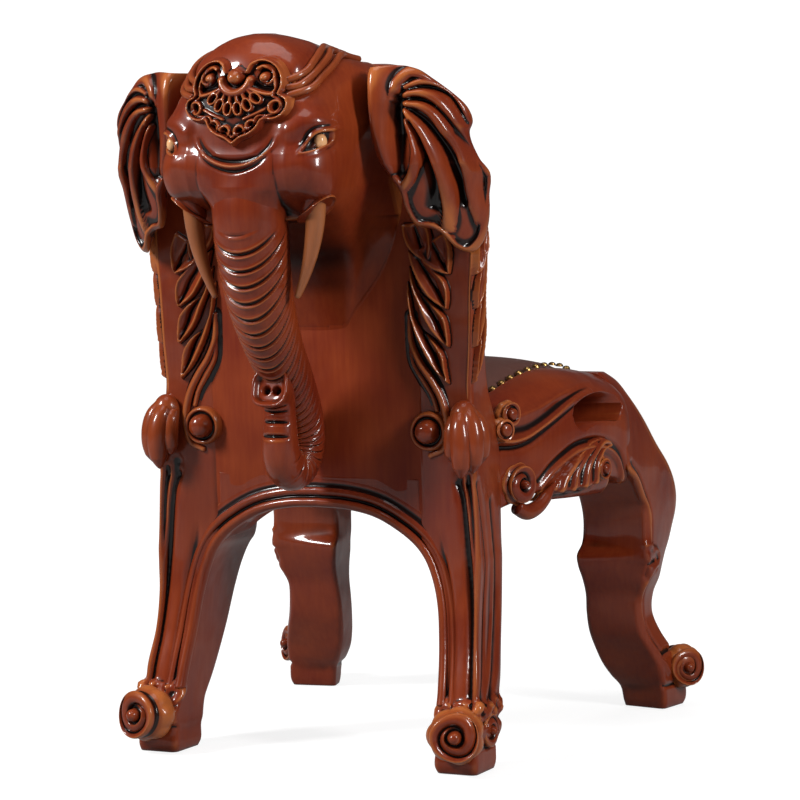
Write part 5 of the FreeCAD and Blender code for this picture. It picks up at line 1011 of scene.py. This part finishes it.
# %% Trunk
TRUNK = np.array([
    # out, up, radius
    (107, 284, 31), (114.5, 268, 32.5), (118.5, 254, 33.2), (119.5, 240, 32.8), (114, 203, 31),
    (103, 165, 28.5), (79, 124, 25), (50, 88, 22), (30, 54, 20), (27.5, 31, 19), (37, 15, 18.2),
    (54, 11, 17.8), (68.5, 20, 17.2), (74, 38, 16.2), (73, 55, 14.8), (72.5, 66, 13.8), (75, 77, 15),
    (82, 86, 16.6), (92, 90, 18)])
line = along(TRUNK[:, :2], 540)
run = run_of(line)
nearest = ((line[:, None] - TRUNK[None, :, :2]) ** 2).sum(-1).argmin(0)
size = through(run[nearest], TRUNK[:, 2], run)
turn = circle(96)
shape = coords(0, *line.T)
go = np.gradient(shape, axis=0)
go = go / np.linalg.norm(go, axis=1, keepdims=True)
outward = coords(0, -go[:, 2], go[:, 1])
total = run[-1]
# Grooves are counted along the trunk, later at the front than at its sides, so that they sag.
at = run[:, None] - 25 * np.cos(turn) * np.clip((330 - run) / 120, 0.1, 1)[:, None]
phase = through([0, 60, 150, 250, 330, total], [0, 4.0, 11.0, 20.0, 29, 36], at)
ridge = np.abs((phase % 1) - 0.5) * 2
groove = -2.3 * bell(ridge, 1, 0.17)
rim_up = 1.3 * bell(ridge, 0.64, 0.16)
front_side = np.clip(0.55 + 0.6 * np.cos(turn), 0.05, 1)
ringed = ramp(run, 52, 64) * ramp(run, 352, 327)
radius = size[:, None] + (groove + rim_up) * front_side * ringed[:, None]
# Four short dashes are cut across the part that turns up.
upturn = ramp(run, 345, total)[:, None]
for dash in (0.22, 0.40, 0.57, 0.70):
    radius = radius - 4.2 * bell(upturn, dash, 0.021) * np.clip(-np.cos(turn) * 2.4 - 1.2, 0, 1)
trunk = shape[:, None] + radius[..., None] * (np.cos(turn)[:, None] * outward[:, None]
                                              + np.sin(turn)[:, None] * np.array([1.0, 0, 0]))
print("trunk", round(total), "mm long")

# %% [markdown]
# The tip is a cup: the rim rolls over, the floor lies a little inside, and two round nostrils go down from
# it. Rows that shrink and sink past the rim make the cup; two round dents in its floor make the
# nostrils.

# %% Trunk tip and tusks
end, way = shape[-1], go[-1]
CUP = np.array([
    # share of the tip's radius, height over the tip
    (1.02, 0.8), (1.0, 1.8), (0.94, 2.2), (0.86, 1.4), (0.78, -0.6), (0.70, -2.4), (0.6, -3.4), (0.5, -3.8),
    (0.4, -4), (0.3, -4), (0.2, -4), (0.1, -4), (0.02, -4)])
cup_share, cup_rise = through(np.arange(len(CUP)), CUP, np.linspace(0, len(CUP) - 1, 70)).T[..., None, None]
side = np.array([1.0, 0, 0])
ring = np.cos(turn)[:, None] * outward[-1] + np.sin(turn)[:, None] * side
square = 1 + 0.06 * np.cos(4 * turn + np.pi)
cup = end + way * cup_rise + ring * (radius[-1, :, None] * square[:, None] * cup_share)
flat_x, flat_y = (cup - end) @ side, (cup - end) @ outward[-1]
NOSTRIL_X, NOSTRIL_Y, NOSTRIL_WIDE, NOSTRIL_DEEP = 5.2, -1.5, 3.4, 7
for spot in (-NOSTRIL_X, NOSTRIL_X):
    hole = np.exp(-(((flat_x - spot) ** 2 + (flat_y - NOSTRIL_Y) ** 2) / NOSTRIL_WIDE ** 2) ** 2)
    cup = cup - way * (hole * NOSTRIL_DEEP)[..., None]
trunk = np.concatenate([trunk, cup])
skin("trunk", [leaned(trunk)], "mahogany", ["trunk"])

# The tusk starts inside its sheath, falls by its drop and bends in toward the trunk.
TUSK_ROOT, TUSK_BEND = (59, 112, 254), (20, 1, 83)
tusk_way = np.linspace(-0.22, 1, 80)
(x, v, w), (inward, out, fall) = TUSK_ROOT, TUSK_BEND
tusk_line = coords(x - inward * tusk_way ** 2, v + out * tusk_way, w - fall * tusk_way)
size = 9.0 - 6.4 * np.clip(tusk_way, 0, 1) ** 1.5
tusk = tube(tusk_line, size * np.sqrt(np.clip((1.012 - tusk_way) / 0.03, 0.02, 1)), (1, 0, 0), 40)
pair("tusk", [leaned(tusk)], "tusk_wood")

# %% [markdown]
# ## Ears
# Each ear is a thin fan that stands off the head at a slant, with deep pleats from its root and a rolled,
# scalloped rim. Its outline is star-shaped about its middle, so it is laid out in polar steps.

# %% Ears
EAR = [(87, 366), (100, 367), (113, 368), (124, 367), (135, 363.5), (145.5, 355.5), (159, 343.5),
       (170.5, 330), (173.5, 319), (171, 309), (176, 286), (182, 274), (181.5, 266), (179, 254),
       (178, 240), (175.5, 226), (170, 211), (161, 203), (152, 208), (145, 218), (137, 225), (125, 229),
       (119, 240), (115, 256), (108, 272), (101, 284), (95, 300), (90, 320), (87, 345), (87, 366)]
rim = along(EAR, 720)[:-1]
heart = np.array([132.0, 298.0])
bearing = np.arctan2(rim[:, 1] - heart[1], rim[:, 0] - heart[0])
order = np.argsort(bearing)
turn = np.linspace(-np.pi, np.pi, 250, endpoint=False)
reach = np.interp(turn, bearing[order], np.hypot(*(rim - heart).T)[order], period=2 * np.pi)
share = np.concatenate([np.linspace(0.004, 0.97, 80), 0.97 + 0.03 * np.sin(np.linspace(0.2, np.pi / 2, 6))])
front_rows = np.arange(2 * len(share) - 1) < len(share)
share = np.concatenate([share, share[::-1][1:]])
x = heart[0] + reach * share[:, None] * np.cos(turn)
w = heart[1] + reach * share[:, None] * np.sin(turn)
EAR_FOLDS = [
    ([(116, 340), (120, 354), (129, 362), (141, 360), (156, 351), (168, 337), (173, 321), (172, 312)],
     [5, 6.5, 6], [6, 7.5, 6], "bead"),
    ([(126, 349), (136, 353), (146, 353), (157, 347.5), (166, 337), (172, 325)], [2.6, 4.4, 4], [5, 7, 6],
     "bead"),
    ([(123, 341), (131, 344), (141, 343), (152, 336.5), (162, 322), (170, 307), (176, 290), (181, 279),
      (183, 273)], [2.6, 6.5, 6.5, 5], [5, 9, 9, 5], "bead"),
    ([(123, 335), (135, 333.5), (145, 328), (157, 313), (167, 296), (171, 278), (170, 262), (171, 247),
      (173, 232)], [2.6, 7, 7, 6], [5, 10, 10, 6], "bead"),
    ([(123, 329), (132, 319), (140, 307), (147, 289), (151, 272), (153, 254), (152, 239), (149, 227)],
     [2.6, 6.6, 6.6, 5], [5, 9.5, 9, 5], "bead"),
    ([(123, 320), (130, 306), (133, 292), (131, 280), (126, 270), (120, 262)], [2.6, 4.6, 4.4], [4, 7.5, 5],
     "bead"),
    ([(113, 271), (118.5, 261), (120.5, 245), (126, 231.5), (138, 227), (147, 220.5), (153, 211), (161, 207),
      (170, 215), (175, 228), (178, 242)], 3.8, [5, 6.5, 6], "bead"),
    ([(178, 242), (180, 256), (182, 268)], 3.2, [5, 4], "bead"),
    ([(101, 366), (102, 347), (102, 327), (104, 308), (107, 290), (111, 278)], [13, 13, 9, 6], [6, 7, 6, 4]),
    ([(119, 339), (118, 325), (118, 308), (118, 290), (118, 277)], [5, 6.5, 5], [-9, -12, -7]),
    ([(130, 347.5), (141, 348.5), (153, 343), (163, 331), (170, 317)], [1.8, 2.2, 2], [-2.4, -3.4, -2.4]),
    ([(129, 338), (140, 337), (151, 329.5), (162, 313), (170, 296), (175, 279)], [1.8, 2.4, 2.4],
     [-3, -4, -3]),
    ([(129, 329), (140, 319.5), (150, 304), (158, 287), (162, 268), (162.5, 250)], [1.8, 3, 4],
     [-3, -5, -4.4]),
    ([(128, 319), (136, 302), (141, 285), (143, 265), (140, 247)], [1.8, 3.4, 4.4], [-4, -6, -5]),
]
# The ear slants back from its root to its rim, and its outer lower part turns further.
turned = ramp(x, 128, 178) ** 2 * ramp(w, 345, 265)
slant = 72 - 0.42 * np.clip(x - 100, 0, None) - 0.27 * np.clip(283 - w, 0, None) - 14 * turned
slant = slant - 3.5 * ramp(x, 120, 160) * ramp(w, 360, 340)
slant = slant - 30 * ramp(x, 97, 84) ** 1.5 - 6 * share[:, None] ** 6
folds = relief(coords(x, w), EAR_FOLDS)
thick = 7.5 * np.sqrt(np.clip(1 - share[:, None] ** 8, 0, 1))
v = np.where(front_rows[:, None], slant + folds + thick / 2, slant + 0.55 * folds - thick / 2)
pair("ear", [leaned(coords(x, v, w))])

# %% [markdown]
# ## Seat and back cushions
# Dark leather is drawn over foam and nailed down. Each cushion starts a little small as a closed crowned
# form, is remeshed in 5 mm cells and swells under air pressure as cloth, so that it is soft and tight.

# %% Cushions
CAP = 4  # mm that a point of a cushion may swell


def swell(piece):
    """Blow a closed form up as cloth for 20 frames with no gravity, and let no point move past the cap."""
    bpy.context.view_layer.objects.active = piece
    cells = piece.modifiers.new("cells", "REMESH")
    cells.mode, cells.voxel_size, cells.use_smooth_shade = "VOXEL", 0.005, True
    bpy.ops.object.modifier_apply(modifier=cells.name)
    rest = np.zeros(3 * len(piece.data.vertices), np.float32)
    piece.data.vertices.foreach_get("co", rest)
    rest = rest.reshape(-1, 3)
    cloth = piece.modifiers.new("cloth", "CLOTH")
    cloth.settings.use_pressure = True
    cloth.settings.uniform_pressure_force = 4
    cloth.settings.effector_weights.gravity = 0
    for step in range(1, 21):
        bpy.context.scene.frame_set(step)
    bpy.ops.object.modifier_apply(modifier=cloth.name)
    bpy.context.scene.frame_set(1)
    moved = np.zeros(rest.size, np.float32)
    piece.data.vertices.foreach_get("co", moved)
    shift = moved.reshape(-1, 3) - rest
    far = np.linalg.norm(shift, axis=1, keepdims=True)
    shift = shift * np.minimum(1, CAP * 0.001 / np.maximum(far, 1e-9))
    piece.data.vertices.foreach_set("co", (rest + shift).ravel())
    piece.data.polygons.foreach_set("use_smooth", np.ones(len(piece.data.polygons), bool))
    smooth = piece.modifiers.new("smooth", "SUBSURF")
    smooth.levels = smooth.render_levels = 1
    bpy.ops.object.modifier_apply(modifier=smooth.name)
    print(piece.name, len(piece.data.vertices), "points")


# The seat laps the rebates of the side rails, and rolls down in front of them between the front legs.
SEAT_REAR, SEAT_FRONT, ROLL_START, ROLL_DROP = 52, -196, -134, 26
SEAT_LAP, SEAT_SUNK, SEAT_CROWN, LEGS_HALF, LEGS_REAR = 6.5, 3.2, 10.5, 137.5, -131
rows_y = np.linspace(SEAT_REAR, SEAT_FRONT, 90)
inner, top = (through(-RAIL[:, 0], RAIL[:, k], -np.clip(rows_y, ROLL_START, RAIL[0, 0])) for k in (1, 3))
drop = ROLL_DROP * ramp(rows_y, ROLL_START, SEAT_FRONT) ** 2
half = np.where(rows_y < LEGS_REAR, LEGS_HALF, inner + SEAT_LAP)
edge_z = top - SEAT_SUNK - drop
full = ramp(rows_y, SEAT_REAR, SEAT_REAR - 40) ** 0.5 * ramp(rows_y, SEAT_FRONT - 10, SEAT_FRONT + 40) ** 0.5
crown = SEAT_CROWN * full
s = np.linspace(-1, 1, 61)
domed = 1 - s ** 4
upper = coords(half[:, None] * s, rows_y[:, None], edge_z[:, None] + crown[:, None] * domed)
under = coords(half[:, None] * s, rows_y[:, None], (edge_z - 8)[:, None])
seat = skin("seat_cushion", [slab(upper, under)], "leather", ["seat_leather", "seat_foam"])
swell(seat)

rows_w = np.linspace(63.5, 330, 90)
deep_edge = through([64, 130, 250, 331], [38, 15, 14, 8], rows_w)
deep_mid = through([64, 130, 250, 331], [47, 27, 26, 13], rows_w)
BOARD = -31.0  # the back board's front face
pad = BOARD - deep_edge[:, None] - (deep_mid - deep_edge)[:, None] * domed
pad_front = leaned(coords(97.6 * s, pad, rows_w[:, None]))
pad_back = leaned(coords(97 * s, BOARD, rows_w[:, None]))
rest = skin("back_cushion", [slab(pad_front, pad_back)], "leather", ["back_leather", "back_foam"])
swell(rest)

# %% [markdown]
# ## Finishes
# The wood is stained red-brown, glazed near black in its hollows, rubbed to amber on its edges and
# lacquered. The attribute depth drives glaze and rubbing, hollow drives rubbing, glaze and painted shade in
# broad hollows, and a given stain adds glaze in the quirks and glaze with painted shade beside the leaves.
# Colours are sRGB, turned to linear in one place.

# %% Materials


def colour(code):
    """An sRGB hex code as linear RGBA."""
    part = np.array([int(code[i:i + 2], 16) for i in (0, 2, 4)]) / 255
    part = np.where(part <= 0.04045, part / 12.92, ((part + 0.055) / 1.055) ** 2.4)
    return (*part, 1.0)


def add(tree, kind, settings=(), **inputs):
    """One node: its settings, then each input from a value or from another node's output."""
    node = tree.nodes.new("ShaderNode" + kind)
    for name, value in dict(settings).items():
        setattr(node, name, value)
    for name, value in inputs.items():
        socket = node.inputs[int(name[1:])] if name[1:].isdigit() else node.inputs[name.replace("_", " ")]
        if isinstance(value, bpy.types.NodeSocket):
            tree.links.new(value, socket)
        else:
            socket.default_value = value
    return node


def mix(tree, share, first, second):
    """Two colours mixed by a share."""
    return add(tree, "Mix", {"data_type": "RGBA"}, _0=share, _6=first, _7=second).outputs[2]


def reckon(tree, operation, *numbers):
    """Numbers joined by an operation."""
    inputs = {"_%d" % place: number for place, number in enumerate(numbers)}
    return add(tree, "Math", {"operation": operation}, **inputs).outputs[0]


def finish(name):
    """A new material, its tree and its shader."""
    made = bpy.data.materials.new(name)
    made.use_nodes = True
    return made, made.node_tree, made.node_tree.nodes["Principled BSDF"]


def wood(name, base, light, glaze_and_shade, amber, rough=0.36, coat=0.6, coat_rough=0.09, grain=1.0, gloss_over=None):
    """Stained wood: base and light mixed by grain along the height, glaze in hollows, which in broad hollows
    is also painted shade, amber on edges. With gloss_over, the lacquer is rubbed to satin under the first of
    two heights and full over the second."""
    made, tree, shader = finish(name)
    place = add(tree, "TexCoord").outputs["Object"]
    # Grain: streaks some 4 mm wide and 60 mm long, coarsened from real pores, which are too fine to see.
    long = add(tree, "Mapping", Vector=place, Scale=(240, 240, 16)).outputs[0]
    streak = add(tree, "TexNoise", Vector=long, Scale=1.0, Detail=3.0, Roughness=0.6).outputs["Fac"]
    # Clouds: uneven stain over some 70 mm.
    cloud = add(tree, "TexNoise", Vector=place, Scale=14.0, Detail=2.0).outputs["Fac"]
    both = reckon(tree, "MULTIPLY_ADD", streak, 0.45 * grain, cloud)
    tone = add(tree, "MapRange", Value=both, From_Min=0.45, From_Max=1.0).outputs[0]
    mixed = mix(tree, tone, colour(base), colour(light))
    # Rubbing, glaze and painted shade: the attribute, the two mm between which it sets in, a colour and its
    # greatest share. The dark layer on hollow is glaze and painted shade in broad hollows; the one on depth
    # is glaze, with painted shade beside the leaves.
    layers = [("hollow", -2.0, -5.5, amber, 0.35), ("depth", -0.4, -1.5, amber, 0.72),
              ("hollow", 0.25, 1.6, glaze_and_shade, 0.88), ("depth", 0.08, 0.5, glaze_and_shade, 0.97)]
    for word, start, end, code, most in layers:
        deep = add(tree, "Attribute", {"attribute_name": word}).outputs["Fac"]
        share = add(tree, "MapRange", {"interpolation_type": "SMOOTHSTEP"}, Value=deep,
                    From_Min=start, From_Max=end, To_Max=most).outputs[0]
        mixed = mix(tree, share, mixed, colour(code))
    tree.links.new(mixed, shader.inputs["Base Color"])
    # Hand work: the gouge leaves swells some 25 mm wide and 0.2 mm deep, which break up the highlights.
    swells = add(tree, "TexNoise", Vector=place, Scale=38.0, Detail=1.0).outputs["Fac"]
    bump = add(tree, "Bump", Height=swells, Strength=1.0, Distance=0.0009).outputs[0]
    tree.links.new(bump, shader.inputs["Normal"])
    tree.links.new(bump, shader.inputs["Coat Normal"])
    shader.inputs["Roughness"].default_value = rough
    shader.inputs["Specular IOR Level"].default_value = 0.12
    shader.inputs["Coat Weight"].default_value = coat
    shader.inputs["Coat Roughness"].default_value = coat_rough
    if gloss_over:
        up = add(tree, "SeparateXYZ", Vector=place).outputs["Z"]
        full = add(tree, "MapRange", Value=up, From_Min=gloss_over[0], From_Max=gloss_over[1],
                   To_Min=0.06, To_Max=coat).outputs[0]
        tree.links.new(full, shader.inputs["Coat Weight"])
    return made


# Carved mahogany: brown-red stain under gloss lacquer.
# The dark colour is glaze, and painted shade in broad hollows and beside the leaves.
GLAZE_AND_SHADE, AMBER = "0E0403", "A25A2C"
mahogany = wood("lacquered_mahogany", "5E1B0B", "7C3215", GLAZE_AND_SHADE, AMBER, coat=0.5)
# The back panel: the same stain made a little lighter as painted light, and rubbed down to satin; the head's
# neck runs out into it.
satin = wood("satin_lit_mahogany", "661E0C", "843716", GLAZE_AND_SHADE, AMBER, rough=0.5, coat=0.1, coat_rough=0.35)
head_wood = wood("head_mahogany", "5E1B0B", "7C3215", GLAZE_AND_SHADE, AMBER, coat=0.5, gloss_over=(0.44, 0.52))
# Tusks: the same wood, rubbed pale.
tusk_wood = wood("rubbed_mahogany", "7A4224", "9A5C34", "30140A", "B87C4C", grain=0.7)
# Eye beads: pale polished boxwood.
eye_wood = wood("boxwood_bead", "B87848", "CC9464", "3A1A0E", "E0B080", rough=0.25)
# Beech blocks and dowels, plain.
beech = wood("beech", "B08058", "C49A6C", "6A4528", "D8B48A", rough=0.6, coat=0.0)
# Plywood boards, plain birch faces.
plywood = wood("birch_plywood", "BE9A68", "D0B080", "7A5A38", "E0C8A0", rough=0.65, coat=0.0)

leather, tree, shader = finish("brown_leather")
place = add(tree, "TexCoord").outputs["Object"]
# Leather grain: cells some 2.5 mm wide, coarsened from real pores of 0.5 mm.
cells = add(tree, "TexVoronoi", {"feature": "SMOOTH_F1"}, Vector=place, Scale=420.0).outputs["Distance"]
cloud = add(tree, "TexNoise", Vector=place, Scale=18.0, Detail=3.0).outputs["Fac"]
tone = mix(tree, cloud, colour("482B25"), colour("5C3B33"))
bump = add(tree, "Bump", Height=cells, Strength=0.25, Distance=0.0004).outputs[0]
tree.links.new(tone, shader.inputs["Base Color"])
tree.links.new(bump, shader.inputs["Normal"])
shader.inputs["Roughness"].default_value = 0.5
shader.inputs["Specular IOR Level"].default_value = 0.35


def plain(name, code, rough, metal=0.0):
    """A plain finish: one colour, and a roughness that varies a little."""
    made, tree, shader = finish(name)
    place = add(tree, "TexCoord").outputs["Object"]
    cloud = add(tree, "TexNoise", Vector=place, Scale=60.0).outputs["Fac"]
    worn = add(tree, "MapRange", Value=cloud, To_Min=rough - 0.06, To_Max=rough + 0.06).outputs[0]
    shader.inputs["Base Color"].default_value = colour(code)
    tree.links.new(worn, shader.inputs["Roughness"])
    shader.inputs["Metallic"].default_value = metal
    return made


# Nails of polished brass, zinc-plated screws and bolts, nylon glides, upholstery foam.
brass = plain("antique_brass", "A88450", 0.35, 1.0)
steel = plain("zinc_plated_steel", "B8BABC", 0.35, 1.0)
nylon = plain("nylon_glide", "2A2420", 0.5)
foam = plain("upholstery_foam", "D8CDB4", 0.9)
FINISH = {
    "mahogany": mahogany, "tusk_wood": tusk_wood, "eye_bead": eye_wood, "leather": leather, "foam": foam,
    "plywood": plywood, "beech": beech, "brass": brass, "steel": steel, "glide": nylon}
# Two pieces of the mahogany slot have a finish of their own.
OWN = {"back_panel": satin, "elephant_head": head_wood}
slots = {row["node"]: row["material_slot"] for row in frame["record"]["subparts"]}
for name, node in frame["nodes"].items():
    node.data.materials.clear()
    node.data.materials.append(FINISH[slots[name]])
for piece, slot in pieces:
    piece.data.materials.clear()
    piece.data.materials.append(OWN.get(piece.name.split(".")[0], FINISH[slot]))
print(len(bpy.data.materials), "materials")

# %% [markdown]
# ## Studio
# A white floor and background, and soft lights from the left, the right, above and in front of the stool, as
# for a catalogue photograph. The camera stands where the photograph's camera was worked out to be.

# %% Camera, floor and light
SIGHT = np.array([0.405, -0.914])  # the line of sight, seen from above
PAPER = (0.24, 0.24, 0.24, 1)  # linear grey, which the lamps bring up to white
MIRRORED = 0.15  # the paper's share in mirrors, because lacquer at a low angle would otherwise turn white
scene = bpy.context.scene
lens = bpy.data.cameras.new("camera")
lens.lens, lens.sensor_width = 126, 36
camera = bpy.data.objects.new("camera", lens)
camera.location = (-1.070, 2.458, 0.457)
camera.rotation_euler = (math.radians(87.10), 0, math.radians(203.16))
scene.collection.objects.link(camera)
scene.camera = camera
scene.view_settings.view_transform = "Standard"


def seen_white(name, near, far):
    """Paper for floor and backdrop, which also glows to the camera and in mirrors: by one amount near the
    stool, so that its shadow stays, and by another 2 m behind it."""
    made, tree, shader = finish(name)
    shader.inputs["Base Color"].default_value = PAPER
    shader.inputs["Roughness"].default_value = 0.9
    path = add(tree, "LightPath")
    mirror = reckon(tree, "MAXIMUM", path.outputs["Is Glossy Ray"], path.outputs["Is Transmission Ray"])
    mirror = reckon(tree, "MULTIPLY", mirror, MIRRORED)
    seen = reckon(tree, "MAXIMUM", path.outputs["Is Camera Ray"], mirror)
    place = add(tree, "TexCoord").outputs["Object"]
    # Distance past the stool along the line of sight.
    away = add(tree, "VectorMath", {"operation": "DOT_PRODUCT"}, _0=place, _1=(*SIGHT, 0)).outputs["Value"]
    glow = add(tree, "MapRange", Value=away, From_Min=0.4, From_Max=2.0, To_Min=near, To_Max=far).outputs[0]
    level = reckon(tree, "MULTIPLY", seen, glow)
    light = add(tree, "Emission", Strength=level).outputs[0]
    joined = add(tree, "AddShader", _0=shader.outputs[0], _1=light).outputs[0]
    tree.links.new(joined, tree.nodes["Material Output"].inputs["Surface"])
    return made


floor_mesh = bpy.data.meshes.new("floor")
floor_mesh.from_pydata([(-8, -8, 0), (8, -8, 0), (8, 8, 0), (-8, 8, 0)], [], [(0, 1, 2, 3)])
floor = bpy.data.objects.new("floor", floor_mesh)
scene.collection.objects.link(floor)
floor_mesh.materials.append(seen_white("studio_floor", 0.82, 0.97))

# A paper backdrop 5 m wide stands 6 m behind the stool, square to the camera's line of sight.
behind, beside = SIGHT * 6, SIGHT[::-1] * (-1, 1) * 2.5
corners = [behind - beside, behind + beside]
wall_mesh = bpy.data.meshes.new("backdrop")
wall_mesh.from_pydata([(x, y, z) for z in (0.0, 2.0) for x, y in corners], [], [(0, 1, 3, 2)])
wall = bpy.data.objects.new("backdrop", wall_mesh)
scene.collection.objects.link(wall)
wall_mesh.materials.append(seen_white("studio_backdrop", 1.0, 1.0))

world = bpy.data.worlds.new("studio")
world.use_nodes = True
scene.world = world
tree = world.node_tree
tree.nodes["Background"].inputs[0].default_value = (1, 1, 1, 1)
# Mirrors show the plain room at a quarter, as the dark studio round the real stool would be.
path = add(tree, "LightPath")
level = add(tree, "MapRange", Value=path.outputs["Is Glossy Ray"], To_Min=0.2, To_Max=0.05).outputs[0]
# The camera sees it white.
level = reckon(tree, "MAXIMUM", level, path.outputs["Is Camera Ray"])
tree.links.new(level, tree.nodes["Background"].inputs[1])


def lamp(name, place, target, size, power, mirrored_too=True):
    """A soft box: an area light that faces a target. One behind the stool is kept out of mirrors, because a
    seat seen at a low angle would show it as a white sheet."""
    light = bpy.data.lights.new(name, "AREA")
    light.shape, light.size, light.size_y, light.energy = "RECTANGLE", size[0], size[1], power
    made = bpy.data.objects.new(name, light)
    made.location = place
    x, y, z = np.array(target) - np.array(place)
    made.rotation_euler = (math.atan2(math.hypot(x, y), -z), 0, math.atan2(y, x) - math.pi / 2)
    made.visible_glossy = mirrored_too
    scene.collection.objects.link(made)


lamp("key", (1.6, 1.9, 1.9), (0, 0.1, 0.35), (0.5, 0.8), 100)
lamp("fill", (-2.4, 0.9, 1.5), (0, 0, 0.35), (0.4, 1.1), 62)
lamp("top", (0, 0.5, 2.4), (0, 0, 0.3), (1.2, 1.2), 14)
lamp("front", (0.3, -2.2, 1.4), (0, 0, 0.3), (1.0, 1.0), 18, mirrored_too=False)
